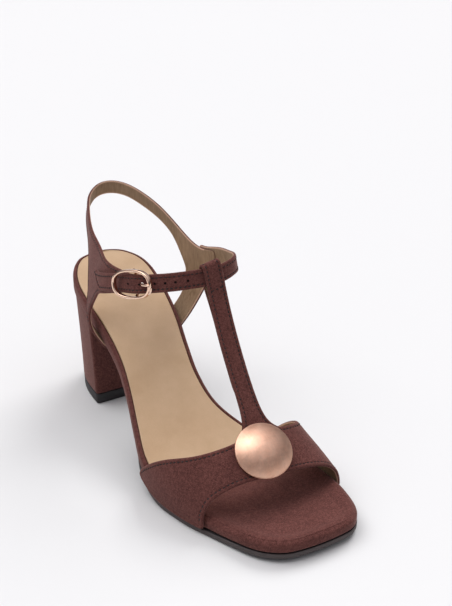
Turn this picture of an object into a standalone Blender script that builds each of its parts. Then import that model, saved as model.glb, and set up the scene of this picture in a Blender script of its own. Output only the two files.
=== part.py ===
"""Right t strap sandal with a block heel.

Metres in the scene, millimetres in the tables. +X is the medial side, -Y the toe, +Z up, and the ground
is at zero.
"""

import math

import bmesh
import bpy
import numpy as np
from mathutils import Matrix

MM = 0.001

# Overall sizes
LENGTH = 230.0
BALL_WIDTH = 83.0
BALL_HEIGHT = 9.0
HEEL_RISE = 66.0
TOE_SPRING = 2.8
INSTEP_HEIGHT = 50.0
COLLAR_HEIGHT = 45.0

# Sole
BOARD_THICKNESS = 7.5
OUTSOLE_THICKNESS = 2.7
OUTSOLE_WAIST = 2.0
RIM_WIDTH = 2.3
RECESS_DEPTH = 1.0
SOCK_THICKNESS = 0.9
CUP_DEPTH = 0.7
HEEL_LENGTH = 48.5
HEEL_INSET = 0.8
HEEL_TAPER = 0.90
HEEL_TAPER_BACK = 0.95
TOP_PIECE_HEIGHT = 6.3
BREAST_RADIUS = 1.6

# Upper
LEATHER = 1.8
QUARTER_LEATHER = 1.5
STRAP_WIDTH = 9.8
STRAP_LEATHER = 1.6
TAB_LEATHER = 0.9
TAB_WIDTH = 0.93 * STRAP_WIDTH
TONGUE_LEATHER = 1.2
TONGUE_BACK_WIDTH = 0.94
LOOP_TURN = 8.0
LOOP_ROOM = 0.7
LEG_TUCK = 3.3

# Buckle
FRAME_LENGTH = 24.6
FRAME_HEIGHT = STRAP_WIDTH + 5.6
FRAME_RAIL = 1.5
FRAME_DEPTH = 2.8
FRAME_POWER = 2.5
FRAME_LIFT = 3.3
FRAME_SLOPE = 0.09
BAR_DIAMETER = 1.8
PRONG_DIAMETER = 1.3

# Button
BUTTON_DIAMETER = 29.0
BUTTON_DOME = 5.8
BUTTON_RIM = 1.6
BUTTON_LEAN = 6.4
BUTTON_ROLL = -8.0
BUTTON_AT = 0.802
BUTTON_AROUND = 86

# Fits
GAP = 0.3
SIDE_GAP = 0.8
STRAP_STEP = QUARTER_LEATHER / 2 + GAP + STRAP_LEATHER / 2

# Sections of the last from the heel to the toe. at: share of LENGTH from the heel. lateral, medial: half
# widths as shares of BALL_WIDTH. rise: share of HEEL_RISE above the ball. spring: share of TOE_SPRING.
# board: share of BOARD_THICKNESS. edge: outsole edge beyond the footbed, share of BALL_WIDTH.
LAST_COLUMNS = ("at", "lateral", "medial", "rise", "spring", "board", "edge")
LAST = (
    (0.013, 0.139, 0.139, 0.996, 0.00, 1.07, -0.024),
    (0.035, 0.217, 0.208, 0.982, 0.00, 1.07, -0.024),
    (0.070, 0.280, 0.257, 0.961, 0.00, 1.07, -0.024),
    (0.113, 0.325, 0.272, 0.932, 0.00, 1.07, -0.024),
    (0.165, 0.349, 0.262, 0.893, 0.00, 1.05, -0.024),
    (0.235, 0.357, 0.236, 0.824, 0.00, 1.03, -0.039),
    (0.304, 0.348, 0.211, 0.712, 0.00, 1.00, -0.041),
    (0.374, 0.352, 0.172, 0.567, 0.00, 1.00, -0.036),
    (0.443, 0.389, 0.146, 0.411, 0.00, 1.00, -0.029),
    (0.513, 0.443, 0.167, 0.256, 0.00, 1.00, -0.019),
    (0.583, 0.494, 0.265, 0.126, 0.00, 1.00, 0.005),
    (0.652, 0.504, 0.380, 0.033, 0.00, 0.92, 0.014),
    (0.704, 0.489, 0.446, 0.000, 0.00, 0.80, 0.017),
    (0.770, 0.449, 0.487, 0.000, 0.00, 0.80, 0.017),
    (0.835, 0.390, 0.494, 0.000, 0.10, 0.80, 0.011),
    (0.885, 0.345, 0.474, 0.000, 0.34, 0.80, 0.006),
    (0.930, 0.297, 0.441, 0.000, 0.58, 0.80, 0.004),
    (0.961, 0.243, 0.402, 0.000, 0.76, 0.80, 0.002),
    (0.983, 0.172, 0.347, 0.000, 0.89, 0.80, 0.001),
    (0.995, 0.085, 0.270, 0.000, 0.97, 0.80, 0.001),
)
HEEL_TIP = (0.000, 0.020)
TOE_TIP = (1.000, 0.090)

# Foot form over the forefoot. at: share of LENGTH. ridge: place of the highest line, share of BALL_WIDTH.
# height: of that line over the footbed, share of INSTEP_HEIGHT.
INSTEP_COLUMNS = ("at", "ridge", "height")
INSTEP = (
    (0.500, 0.036, 1.04),
    (0.583, 0.036, 0.99),
    (0.626, 0.036, 0.97),
    (0.670, 0.036, 0.91),
    (0.713, 0.048, 0.78),
    (0.757, 0.060, 0.63),
    (0.800, 0.066, 0.50),
    (0.843, 0.072, 0.37),
    (0.887, 0.072, 0.28),
    (0.930, 0.072, 0.22),
)
SECTION_POWER = 2.4

# Vamp edges around the foot form. around: degrees from the lateral to the medial feather line. back, front:
# shares of LENGTH from the heel.
VAMP_COLUMNS = ("around", "back", "front")
VAMP = (
    (0, 0.588, 0.824),
    (9, 0.626, 0.820),
    (17, 0.655, 0.818),
    (30, 0.699, 0.821),
    (45, 0.738, 0.829),
    (60, 0.757, 0.836),
    (73, 0.764, 0.843),
    (84, 0.764, 0.848),
    (100, 0.762, 0.852),
    (112, 0.759, 0.852),
    (122, 0.751, 0.851),
    (135, 0.735, 0.849),
    (150, 0.700, 0.846),
    (165, 0.656, 0.843),
    (180, 0.612, 0.841),
)
VAMP_STEPS = (0, 8, 16, 24, 32, 40, 48, 56, 63, 69, 74, 77, 84, 91, 98, 105, 108, 112, 117, 123, 130, 137,
              145, 153, 160, 167, 174, 180)
VAMP_ROWS = (0.0, 0.13, 0.33, 0.55, 0.76, 0.9, 1.0)
ROOT_FROM, ROOT_TO = 77, 105

# T strap between the vamp and the ankle strap. run, climb: shares of the way back and of the way up.
# width: share of STRAP_WIDTH.
TONGUE_COLUMNS = ("run", "climb", "width")
TONGUE = (
    (0.060, 0.045, 1.66),
    (0.130, 0.100, 1.30),
    (0.220, 0.170, 1.14),
    (0.330, 0.262, 1.09),
    (0.460, 0.380, 1.07),
    (0.590, 0.505, 1.07),
    (0.720, 0.640, 1.07),
    (0.850, 0.790, 1.07),
    (0.940, 0.905, 1.07),
)
TONGUE_RING = 24.95

# Ring of the ankle opening, from the buckle round the heel and back. at: share of LENGTH. side: share of
# BALL_WIDTH. mid, top, bottom: heights over the heel seat as shares of COLLAR_HEIGHT, of the straps' middle
# line and of the quarter's two edges. lean: outward run for each millimetre down.
RING_COLUMNS = ("at", "side", "mid", "lean", "top", "bottom")
RING = (
    (0.465, -0.320, 0.578, 0.18, 0.679, 0.477),
    (0.413, -0.364, 0.505, 0.24, 0.650, 0.382),
    (0.361, -0.380, 0.413, 0.22, 0.631, 0.273),
    (0.317, -0.377, 0.342, 0.22, 0.633, 0.184),
    (0.274, -0.352, 0.330, 0.24, 0.655, 0.116),
    (0.230, -0.316, 0.420, 0.22, 0.688, 0.118),
    (0.187, -0.272, 0.556, 0.14, 0.722, 0.380),
    (0.139, -0.221, 0.640, 0.08, 0.768, 0.492),
    (0.074, -0.148, 0.706, 0.14, 0.822, 0.590),
    (0.029, -0.077, 0.780, 0.12, 0.871, 0.695),
    (0.010, 0.012, 0.855, 0.05, 0.942, 0.772),
    (0.021, 0.100, 0.890, 0.00, 0.980, 0.806),
    (0.051, 0.183, 0.870, 0.00, 0.958, 0.784),
    (0.097, 0.250, 0.786, 0.05, 0.884, 0.690),
    (0.149, 0.303, 0.678, 0.05, 0.773, 0.578),
    (0.200, 0.338, 0.529, 0.05, 0.638, 0.411),
    (0.243, 0.357, 0.376, 0.04, 0.534, 0.089),
    (0.283, 0.367, 0.358, 0.04, 0.472, 0.031),
    (0.324, 0.376, 0.376, 0.08, 0.468, 0.056),
    (0.370, 0.379, 0.450, 0.14, 0.520, 0.267),
    (0.422, 0.375, 0.536, 0.18, 0.590, 0.390),
    (0.470, 0.356, 0.606, 0.20, 0.650, 0.450),
    (0.508, 0.317, 0.666, 0.18, 0.710, 0.510),
    (0.535, 0.258, 0.692, 0.06, 0.760, 0.560),
    (0.550, 0.170, 0.686, 0.08, 0.790, 0.590),
    (0.554, 0.072, 0.678, 0.10, 0.800, 0.600),
    (0.550, -0.030, 0.678, 0.12, 0.790, 0.590),
    (0.540, -0.127, 0.670, 0.13, 0.780, 0.570),
    (0.522, -0.207, 0.649, 0.14, 0.750, 0.550),
    (0.497, -0.271, 0.618, 0.16, 0.720, 0.520),
)
QUARTER_FROM, QUARTER_TO = 0.0, 19.0
LATERAL_LEG = (3.0, 5.0)
MEDIAL_LEG = (16.0, 18.5)
STRAP_FROM, STRAP_TO = 17.4, 32.95
TIP_SLANT = 1.1

# Ankle strap and buckle tab outside the ring. along: ring station. out: share of STRAP_STEP.
LAYER_COLUMNS = ("along", "out")
STRAP_LAYER = (
    (17.0, 1.00),
    (19.1, 1.00),
    (21.0, 0.00),
    (27.5, 0.00),
    (28.5, 0.05),
    (29.3, 0.60),
    (30.0, 1.46),
    (30.5, 1.16),
    (31.0, 0.78),
    (31.6, 0.93),
    (32.2, 1.00),
    (34.0, 1.00),
)
TAB_LAYER = (
    (0.0, 0.62),
    (0.45, 0.26),
    (1.0, -0.20),
    (1.6, -0.10),
    (2.2, 0.00),
    (19.0, 0.00),
)

# Legs of the quarter, from the ring down to the footbed. down: share of the way from the ring to the
# footbed's lower edge. out: beyond the straight line between them, in shares of BALL_WIDTH.
# back, front: shifts of the two edges, in shares of LENGTH.
LEG_COLUMNS = ("down", "out", "back", "front")
LATERAL_LEG_ROWS = (
    (0.12, 0.002, 0.001, 0.013),
    (0.26, 0.008, 0.004, 0.028),
    (0.44, 0.022, 0.004, 0.040),
    (0.64, 0.034, 0.000, 0.042),
    (0.84, 0.032, -0.003, 0.026),
)
MEDIAL_LEG_ROWS = (
    (0.12, 0.004, -0.004, -0.001),
    (0.26, 0.012, -0.008, 0.000),
    (0.44, 0.022, -0.010, 0.002),
    (0.64, 0.024, -0.008, 0.002),
    (0.84, 0.016, -0.003, 0.000),
)
LATERAL_FOOT = (0.256, 0.302)
MEDIAL_FOOT = (0.247, 0.304)

# Folded end of the buckle tab behind the strap. run: along the strap, share of STRAP_WIDTH. sink: toward the
# ankle, share of STRAP_LEATHER.
TAB_TAIL_COLUMNS = ("run", "sink")
TAB_TAIL = (
    (0.31, 0.22),
    (0.66, 0.56),
    (0.97, 0.81),
)
TAB_TURN = (90, 125, 160, 195, 230, 270)

SUEDE = (0.152, 0.062, 0.054)
TAN = (0.55, 0.38, 0.25)
RUBBER = (0.018, 0.016, 0.017)
ROSE_METAL = (0.86, 0.60, 0.47)
FOIL = (0.82, 0.53, 0.40)


def clear_scene():
    for item in list(bpy.data.objects):
        bpy.data.objects.remove(item, do_unlink=True)


def column(rows, names, name):
    return np.array([row[names.index(name)] for row in rows], float)


def smooth(knots, values):
    """Monotone cubic through the knots: flat wherever two neighbouring values are equal."""
    x = np.asarray(knots, float)
    v = np.asarray(values, float)
    h = np.diff(x)
    slope = np.diff(v) / h
    m = np.zeros_like(v)
    m[0] = slope[0]
    m[-1] = slope[-1]
    for i in range(1, len(x) - 1):
        if slope[i - 1] * slope[i] > 0:
            a = 2 * h[i] + h[i - 1]
            b = h[i] + 2 * h[i - 1]
            m[i] = (a + b) / (a / slope[i - 1] + b / slope[i])

    def at(place):
        p = float(min(max(place, x[0]), x[-1]))
        i = int(min(max(np.searchsorted(x, p, side="right") - 1, 0), len(h) - 1))
        t = (p - x[i]) / h[i]
        return float(
            (2 * t**3 - 3 * t**2 + 1) * v[i]
            + (t**3 - 2 * t**2 + t) * h[i] * m[i]
            + (3 * t**2 - 2 * t**3) * v[i + 1]
            + (t**3 - t**2) * h[i] * m[i + 1]
        )

    return at


def spline_point(p0, p1, p2, p3, t):
    return 0.5 * (
        2 * p1
        + (p2 - p0) * t
        + (2 * p0 - 5 * p1 + 4 * p2 - p3) * t**2
        + (3 * p1 - p0 - 3 * p2 + p3) * t**3
    )


def unit(vector):
    vector = np.asarray(vector, float)
    return vector / max(float(np.linalg.norm(vector)), 1e-9)


# Profile of the sole
AT = column(LAST, LAST_COLUMNS, "at")
rise_at = smooth(np.r_[0.0, AT, 1.0], np.r_[1.0, column(LAST, LAST_COLUMNS, "rise"), 0.0])
spring_at = smooth(np.r_[0.0, AT, 1.0], np.r_[0.0, column(LAST, LAST_COLUMNS, "spring"), 1.0])
board_at = smooth(AT, column(LAST, LAST_COLUMNS, "board"))
edge_at = smooth(AT, column(LAST, LAST_COLUMNS, "edge") * BALL_WIDTH)
ridge_at = smooth(column(INSTEP, INSTEP_COLUMNS, "at"), column(INSTEP, INSTEP_COLUMNS, "ridge"))
height_at = smooth(column(INSTEP, INSTEP_COLUMNS, "at"), column(INSTEP, INSTEP_COLUMNS, "height"))

SEAT = BALL_HEIGHT + HEEL_RISE
BREAST_AT = HEEL_LENGTH / LENGTH
SOCK_END = 0.745
RECESS_END = 0.785


def y_of(at):
    return (0.5 - at) * LENGTH


def at_of(y):
    return 0.5 - y / LENGTH


def footbed_top(at):
    return BALL_HEIGHT + rise_at(at) * HEEL_RISE + spring_at(at) * TOE_SPRING


def footbed_under(at):
    return footbed_top(at) - board_at(at) * BOARD_THICKNESS


def recess_at(at):
    if at >= RECESS_END:
        return 0.0
    t = min((RECESS_END - at) / (RECESS_END - SOCK_END), 1.0)
    return RECESS_DEPTH * t * t * (3 - 2 * t)


def plan_outline(steps=2):
    """Lateral and medial plan points of the footbed from heel to toe, and its two tips."""
    y = [y_of(row[0]) for row in LAST]
    tips = [np.array([tip[1] * BALL_WIDTH, y_of(tip[0])]) for tip in (HEEL_TIP, TOE_TIP)]
    sides = {}
    for name, sign in (("lateral", -1), ("medial", 1)):
        sides[name] = [
            np.array([sign * w * BALL_WIDTH, v]) for w, v in zip(column(LAST, LAST_COLUMNS, name), y)
        ]
    out = []
    for name, other in (("lateral", "medial"), ("medial", "lateral")):
        run = [sides[other][0], tips[0], *sides[name], tips[1], sides[other][-1]]
        points = []
        for i in range(1, len(run) - 2):
            for k in range(steps):
                points.append(spline_point(run[i - 1], run[i], run[i + 1], run[i + 2], k / steps))
        out.append(np.array(points[1:]))
    return out[0], out[1], tips[0], tips[1]


LATERAL, MEDIAL, HEEL_POINT, TOE_POINT = plan_outline()
LATERAL_FINE, MEDIAL_FINE, _, _ = plan_outline(8)


def edge_x(side, y):
    """Plan edge of the footbed on one side: -1 lateral, 1 medial."""
    line = LATERAL_FINE if side < 0 else MEDIAL_FINE
    return float(np.interp(-y, -line[:, 1], line[:, 0]))


def closed_loop(lateral, medial, heel_tip=None, toe_tip=None):
    start = [] if heel_tip is None else [heel_tip]
    end = [] if toe_tip is None else [toe_tip]
    return np.array([*start, *lateral, *end, *medial[::-1]])


def inset_loop(loop, distance):
    """Moves a closed plan loop inward; distance may be one value a point."""
    ahead = np.roll(loop, -1, axis=0)
    behind = np.roll(loop, 1, axis=0)
    a = ahead - loop
    b = loop - behind
    a /= np.maximum(np.linalg.norm(a, axis=1), 1e-9)[:, None]
    b /= np.maximum(np.linalg.norm(b, axis=1), 1e-9)[:, None]
    run = a + b
    run /= np.maximum(np.linalg.norm(run, axis=1), 1e-9)[:, None]
    normal = np.stack([-run[:, 1], run[:, 0]], axis=1)
    area = np.sum(loop[:, 0] * ahead[:, 1] - ahead[:, 0] * loop[:, 1])
    if area < 0:
        normal = -normal
    half_turn = np.clip(np.sum(normal * np.stack([-a[:, 1], a[:, 0]], axis=1), axis=1), -1, 1)
    stretch = 1 / np.maximum(np.abs(half_turn), 0.6)
    return loop + normal * (np.asarray(distance) * stretch)[..., None]


def material(name, colour, roughness, metallic=0.0):
    found = bpy.data.materials.get(name)
    if found:
        return found
    made = bpy.data.materials.new(name)
    made.use_nodes = True
    shader = made.node_tree.nodes["Principled BSDF"]
    shader.inputs["Base Color"].default_value = (*colour, 1.0)
    shader.inputs["Roughness"].default_value = roughness
    shader.inputs["Metallic"].default_value = metallic
    return made


def new_object(name, points, faces, look):
    """Closed mesh object from millimetre points."""
    mesh = bpy.data.meshes.new(name)
    mesh.from_pydata([tuple(float(c) * MM for c in p) for p in points], [], [tuple(f) for f in faces])
    work = bmesh.new()
    work.from_mesh(mesh)
    bmesh.ops.remove_doubles(work, verts=work.verts, dist=1e-6)
    bmesh.ops.recalc_face_normals(work, faces=work.faces)
    work.to_mesh(mesh)
    work.free()
    mesh.shade_smooth()
    mesh.set_sharp_from_angle(angle=math.radians(40))
    mesh.materials.append(look)
    item = bpy.data.objects.new(name, mesh)
    bpy.context.scene.collection.objects.link(item)
    return item


def stack_loops(name, loops, caps, look, tips=(True, True), columns=6):
    """Solid from equal closed loops, bottom to top, with both ends filled by strips from side to side."""
    points = [p for loop in loops for p in loop]
    n = len(loops[0])
    faces = []
    for k in range(len(loops) - 1):
        for i in range(n):
            j = (i + 1) % n
            faces.append((k * n + i, k * n + j, (k + 1) * n + j, (k + 1) * n + i))
    heel_tip, toe_tip = tips
    pairs = (n - int(heel_tip) - int(toe_tip)) // 2
    for level, height in ((0, caps[0]), (len(loops) - 1, caps[1])):
        loop = loops[level]
        base = level * n
        rows = []
        for i in range(pairs):
            a = i + int(heel_tip)
            b = n - 1 - i
            row = [base + a]
            straight_end = (i == 0 and not heel_tip) or (i == pairs - 1 and not toe_tip)
            for c in range(1, 1 if straight_end else columns):
                s = c / columns
                p = loop[a] * (1 - s) + loop[b] * s
                across = 2 * s - 1
                row.append(len(points))
                points.append(np.array([p[0], p[1], height(p[0], p[1], across, p[2])]))
            row.append(base + b)
            rows.append(row)
        for first, second in zip(rows, rows[1:]):
            if len(first) == len(second):
                for c in range(len(first) - 1):
                    faces.append((first[c], first[c + 1], second[c + 1], second[c]))
            else:
                faces.append((*first, *second[::-1]))
        if heel_tip:
            faces.extend((base, rows[0][c + 1], rows[0][c]) for c in range(columns))
        if toe_tip:
            tip = base + pairs + int(heel_tip)
            faces.extend((tip, rows[-1][c], rows[-1][c + 1]) for c in range(columns))
    return new_object(name, points, faces, look)


def level_cap(x, y, across, z):
    return z


def lift(loop, height):
    return np.array([[p[0], p[1], height(at_of(p[1]))] for p in loop])


def footbed_loop():
    return closed_loop(LATERAL, MEDIAL, HEEL_POINT, TOE_POINT)


def bed_surface(x, y, across, z):
    at = at_of(y)
    return footbed_top(at) - recess_at(at) - CUP_DEPTH * (1 - across**2)


def make_footbed(look):
    loop = footbed_loop()
    side = (
        (1.6, 0.0),
        (0.5, 0.35),
        (0.0, 1.3),
    )
    crown = (
        (0.0, -1.7),
        (0.35, -0.75),
        (1.1, -0.12),
        (RIM_WIDTH - 0.5, 0.0),
    )
    loops = [lift(inset_loop(loop, inset), lambda at, up=up: footbed_under(at) + up) for inset, up in side]
    loops += [lift(inset_loop(loop, inset), lambda at, up=up: footbed_top(at) + up) for inset, up in crown]
    well = inset_loop(loop, RIM_WIDTH)
    loops.append(lift(well, lambda at: footbed_top(at) - recess_at(at) - 0.02))
    return stack_loops("footbed", loops, (level_cap, bed_surface), look)


def make_sock(look):
    fore = y_of(SOCK_END - 0.01)
    keep = [i for i in range(len(LATERAL)) if LATERAL[i][1] > fore]
    shrunk = inset_loop(footbed_loop(), RIM_WIDTH + GAP)
    total = len(shrunk)
    count = len(keep)
    loop = np.array([shrunk[0], *shrunk[1:count + 1], *shrunk[total - count:]])
    rise = 0.3

    def under(x, y, across, z):
        return bed_surface(x, y, across, z) + rise

    def over(x, y, across, z):
        return bed_surface(x, y, across, z) + rise + SOCK_THICKNESS

    low = np.array([[p[0], p[1], under(p[0], p[1], 1.0, 0.0)] for p in loop])
    middle = low + np.array([0, 0, SOCK_THICKNESS * 0.7])
    soft = inset_loop(loop, 0.3)
    high = np.array([[p[0], p[1], over(p[0], p[1], 1.0, 0.0)] for p in soft])
    return stack_loops("sock", [low, middle, high], (under, over), look, tips=(True, False), columns=6)


def make_outsole(look):
    full = footbed_loop()
    grown = inset_loop(full, np.array([-edge_at(at_of(p[1])) for p in full]))
    total = len(full)
    start = y_of(BREAST_AT) - GAP
    keep = [i for i in range(1, total // 2) if full[i][1] < start]
    lateral = [grown[i] for i in keep]
    medial = [grown[total - i] for i in keep]
    for side in (lateral, medial):
        side.insert(0, np.array([side[0][0], start]))
    loop = closed_loop(lateral, medial, None, grown[total // 2])

    thick = smooth([0.52, 0.66], [OUTSOLE_WAIST, OUTSOLE_THICKNESS])

    def top(at):
        return footbed_under(at) - GAP

    def bottom(at):
        return top(at) - thick(at)

    loops = [
        lift(inset_loop(loop, 0.8), bottom),
        lift(inset_loop(loop, 0.15), lambda at: bottom(at) + 0.3),
        lift(loop, lambda at: bottom(at) + 0.8),
        lift(loop, lambda at: top(at) - 0.35),
        lift(inset_loop(loop, 0.35), top),
    ]
    return stack_loops("outsole", loops, (level_cap, level_cap), look, tips=(False, True), columns=3)


def heel_plan(inset):
    """Plan loop of the heel under the seat, with a flat breast and small corners."""
    breast = y_of(BREAST_AT)
    full = inset_loop(footbed_loop(), inset)
    total = len(full)
    keep = [i for i in range(1, total // 2) if full[i][1] > breast + BREAST_RADIUS + 0.8]
    lateral = [full[i] for i in keep]
    medial = [full[total - i] for i in keep]
    for side, line in ((-1, lateral), (1, medial)):
        x = edge_x(side, breast) - side * inset
        line.append(np.array([x, breast + BREAST_RADIUS]))
        line.append(np.array([x - side * BREAST_RADIUS * 0.3, breast + BREAST_RADIUS * 0.3]))
        line.append(np.array([x - side * BREAST_RADIUS, breast]))
    return closed_loop(lateral, medial, full[0])


def heel_level(share):
    """Heel plan at a share of the way from the ground to the seat."""
    loop = heel_plan(HEEL_INSET)
    breast = y_of(BREAST_AT)
    middle = (edge_x(-1, breast) + edge_x(1, breast)) / 2
    flare = share**1.5
    x = middle + (loop[:, 0] - middle) * (HEEL_TAPER + (1 - HEEL_TAPER) * flare)
    y = breast + (loop[:, 1] - breast) * (HEEL_TAPER_BACK + (1 - HEEL_TAPER_BACK) * flare)
    return np.stack([x, y], axis=1)


def make_heel(suede, rubber):
    base = TOP_PIECE_HEIGHT + GAP
    seat = footbed_under(0.0) - GAP
    loops = []
    for share in (0.0, 0.02, 0.2, 0.45, 0.7, 0.88, 1.0):
        loop = heel_level((base + share * (seat - base)) / seat)
        top = np.array([footbed_under(at_of(p[1])) - GAP for p in loop])
        z = base + share * (top - base)
        if share == 0.0:
            loop = inset_loop(loop, 0.5)
        loops.append(np.column_stack([loop, z]))

    def under_seat(x, y, across, z):
        return footbed_under(at_of(y)) - GAP

    stack_loops("heel_block", loops, (level_cap, under_seat), suede, tips=(True, False), columns=4)
    lower = []
    for inset, z in ((0.7, 0.0), (0.1, 0.7), (0.0, TOP_PIECE_HEIGHT - 0.4), (0.3, TOP_PIECE_HEIGHT)):
        loop = inset_loop(heel_level(z / seat), inset + 0.1)
        lower.append(np.column_stack([loop, np.full(len(loop), z)]))
    stack_loops("heel_top_piece", lower, (level_cap, level_cap), rubber, tips=(True, False), columns=4)


def grid_faces(grid, skip=()):
    """Quads of a grid of point numbers, rows by columns."""
    faces = []
    for r in range(len(grid) - 1):
        for c in range(len(grid[0]) - 1):
            if (r, c) not in skip:
                faces.append((grid[r][c], grid[r][c + 1], grid[r + 1][c + 1], grid[r + 1][c]))
    return faces


def point_normals(points, faces):
    normals = np.zeros_like(points)
    for face in faces:
        a, b, c, d = (points[i] for i in face)
        n = unit(np.cross(c - a, d - b))
        for i in face:
            normals[i] += n
    return normals / np.maximum(np.linalg.norm(normals, axis=1), 1e-9)[:, None]


def thick_sheet(name, points, faces, thickness, look):
    """Closed solid around a middle surface, half the thickness to each side of it."""
    points = np.asarray(points, float)
    normals = point_normals(points, faces)
    half = (np.broadcast_to(thickness, len(points)) / 2)[:, None]
    count = len(points)
    skin = np.vstack([points + normals * half, points - normals * half])
    sides = {}
    for face in faces:
        for a, b in zip(face, (*face[1:], face[0])):
            sides[(a, b)] = sides.get((a, b), 0) + 1
    solid = [tuple(face) for face in faces]
    solid += [tuple(i + count for i in reversed(face)) for face in faces]
    for a, b in sides:
        if (b, a) not in sides:
            solid.append((b, a, a + count, b + count))
    return new_object(name, skin, solid, look)


# Vamp and T strap
back_at = smooth(column(VAMP, VAMP_COLUMNS, "around"), column(VAMP, VAMP_COLUMNS, "back"))
front_at = smooth(column(VAMP, VAMP_COLUMNS, "around"), column(VAMP, VAMP_COLUMNS, "front"))


def foot_form(around, at, out=0.0):
    """Middle surface of the vamp at an angle around the foot and a share of the length."""
    y = y_of(at)
    angle = math.radians(around)
    side = -1 if around < 90 else 1
    reach = edge_x(side, y) + side * (SIDE_GAP + LEATHER / 2 + out)
    ridge = ridge_at(at) * BALL_WIDTH
    low = footbed_under(at) + 0.1
    high = footbed_top(at) + height_at(at) * INSTEP_HEIGHT - LEATHER / 2 + out
    c = abs(math.cos(angle)) ** (2 / SECTION_POWER)
    s = abs(math.sin(angle)) ** (2 / SECTION_POWER)
    return np.array([ridge + (reach - ridge) * c, y, low + (high - low) * s])


# Ring of the ankle opening
RING_AT = column(RING, RING_COLUMNS, "at")
RING_TABLE = np.column_stack([
    column(RING, RING_COLUMNS, "side") * BALL_WIDTH,
    (0.5 - RING_AT) * LENGTH,
    SEAT + column(RING, RING_COLUMNS, "mid") * COLLAR_HEIGHT,
    column(RING, RING_COLUMNS, "lean"),
    SEAT + column(RING, RING_COLUMNS, "top") * COLLAR_HEIGHT,
    SEAT + column(RING, RING_COLUMNS, "bottom") * COLLAR_HEIGHT,
])
strap_out = smooth(
    column(STRAP_LAYER, LAYER_COLUMNS, "along"), column(STRAP_LAYER, LAYER_COLUMNS, "out") * STRAP_STEP
)
tab_out = smooth(
    column(TAB_LAYER, LAYER_COLUMNS, "along"), column(TAB_LAYER, LAYER_COLUMNS, "out") * STRAP_STEP
)


def ring_row(station):
    n = len(RING_TABLE)
    i = int(math.floor(station))
    t = station - i
    return spline_point(*(RING_TABLE[(i + k) % n] for k in (-1, 0, 1, 2)), t)


def ring_frame(station):
    """Middle point of the ring with its run, outward and upward directions."""
    row = ring_row(station)
    ahead = ring_row(station + 0.02)
    behind = ring_row(station - 0.02)
    run = np.array([ahead[0] - behind[0], ahead[1] - behind[1], 0.0])
    run = unit(run)
    level = np.array([-run[1], run[0], 0.0])
    tilt = math.atan(row[3])
    out = level * math.cos(tilt) + np.array([0, 0, math.sin(tilt)])
    up = np.array([0, 0, math.cos(tilt)]) - level * math.sin(tilt)
    slope = (ahead[2] - behind[2]) / max(np.hypot(ahead[0] - behind[0], ahead[1] - behind[1]), 1e-9)
    along = unit(run + up * slope)
    up = unit(np.cross(out, along))
    if up[2] < 0:
        up = -up
    return row[:3].copy(), along, out, up


def ring_band(station, share, out):
    """Point of the quarter band: share 0 at its lower edge, 1 at its upper edge."""
    row = ring_row(station)
    middle, along, outward, up = ring_frame(station)
    z = row[5] + (row[4] - row[5]) * share
    tilt = math.atan(row[3])
    level = unit(np.array([outward[0], outward[1], 0.0]))
    flat = np.array([row[0], row[1], z]) + level * math.tan(tilt) * (row[2] - z)
    return flat + outward * out


def strap_point(station, across, out):
    """Point of the ankle strap: across runs from -0.5 at its lower edge to 0.5 at its upper edge."""
    middle, along, outward, up = ring_frame(station)
    return middle + up * across * STRAP_WIDTH + outward * out


def add_rows(points, rows):
    numbers = []
    for row in rows:
        numbers.append(list(range(len(points), len(points) + len(row))))
        points.extend(row)
    return numbers


def tongue_rows(root):
    """Rows of the T strap from the vamp up its front, round the ankle strap and down its back."""
    count = len(root)
    spread = [c / (count - 1) - 0.5 for c in range(count)]
    middle, along, outward, up = ring_frame(TONGUE_RING)
    side = along if along[0] > 0 else -along
    turn_by = math.radians(LOOP_TURN)
    c, s = math.cos(turn_by), math.sin(turn_by)
    up, side = up * c - side * s, side * c + up * s
    layer = STRAP_LEATHER / 2 + GAP + TONGUE_LEATHER / 2
    foot = middle + outward * layer - up * (STRAP_WIDTH / 2 + 1.0)
    head = middle + outward * layer + up * (STRAP_WIDTH / 2 + 0.4)
    start = (root[0] + root[-1]) / 2
    crown = root[count // 2]
    start = np.array([start[0], crown[1], crown[2]])
    root_side = unit(root[-1] - root[0])
    root_width = float(np.linalg.norm(root[-1] - root[0]))
    sag = [root[c] - (start + root_side * spread[c] * root_width) for c in range(count)]
    spine = []
    for run, climb, width in TONGUE:
        across = unit(root_side * (1 - climb) + side * climb)
        centre = start + (foot - start) * np.array([climb, run, climb])
        fade = max(0.0, 1 - run / 0.3) ** 1.5
        spine.append((centre, across, width * STRAP_WIDTH, fade))
    width = TONGUE[-1][2] * STRAP_WIDTH
    spine.append((foot, side, width, 0.0))
    spine.append(((foot + head) / 2, side, width, 0.0))
    spine.append((head, side, width, 0.0))
    front = []
    for centre, across, wide, fade in spine:
        front.append([centre + across * spread[c] * wide + sag[c] * fade for c in range(count)])
    radius = layer + LOOP_ROOM / 2
    turn = []
    for k in range(1, 6):
        angle = math.pi * k / 6
        centre = head + up * radius * math.sin(angle) - outward * radius * (1 - math.cos(angle))
        turn.append([centre + side * spread[c] * width for c in range(count)])
    loop = [head, (foot + head) / 2, foot]
    back = [[p - outward * 2 * radius + side * spread[c] * width for c in range(count)] for p in loop]
    doubled = TONGUE_LEATHER + GAP
    ends = [start] + [s[0] for s in spine[:-3]] + [foot, head]
    for k in range(len(TONGUE) - 1, 2, -1):
        centre, across, wide, fade = spine[k]
        run = unit(ends[k + 2] - ends[k])
        inward = unit(np.cross(run, across))
        if inward[1] < 0:
            inward = -inward
        gap = doubled if k < len(TONGUE) - 1 else (doubled + 2 * radius) / 2
        back.append([
            centre + inward * gap + across * spread[c] * wide * TONGUE_BACK_WIDTH for c in range(count)
        ])
    return front, turn + back


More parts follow.
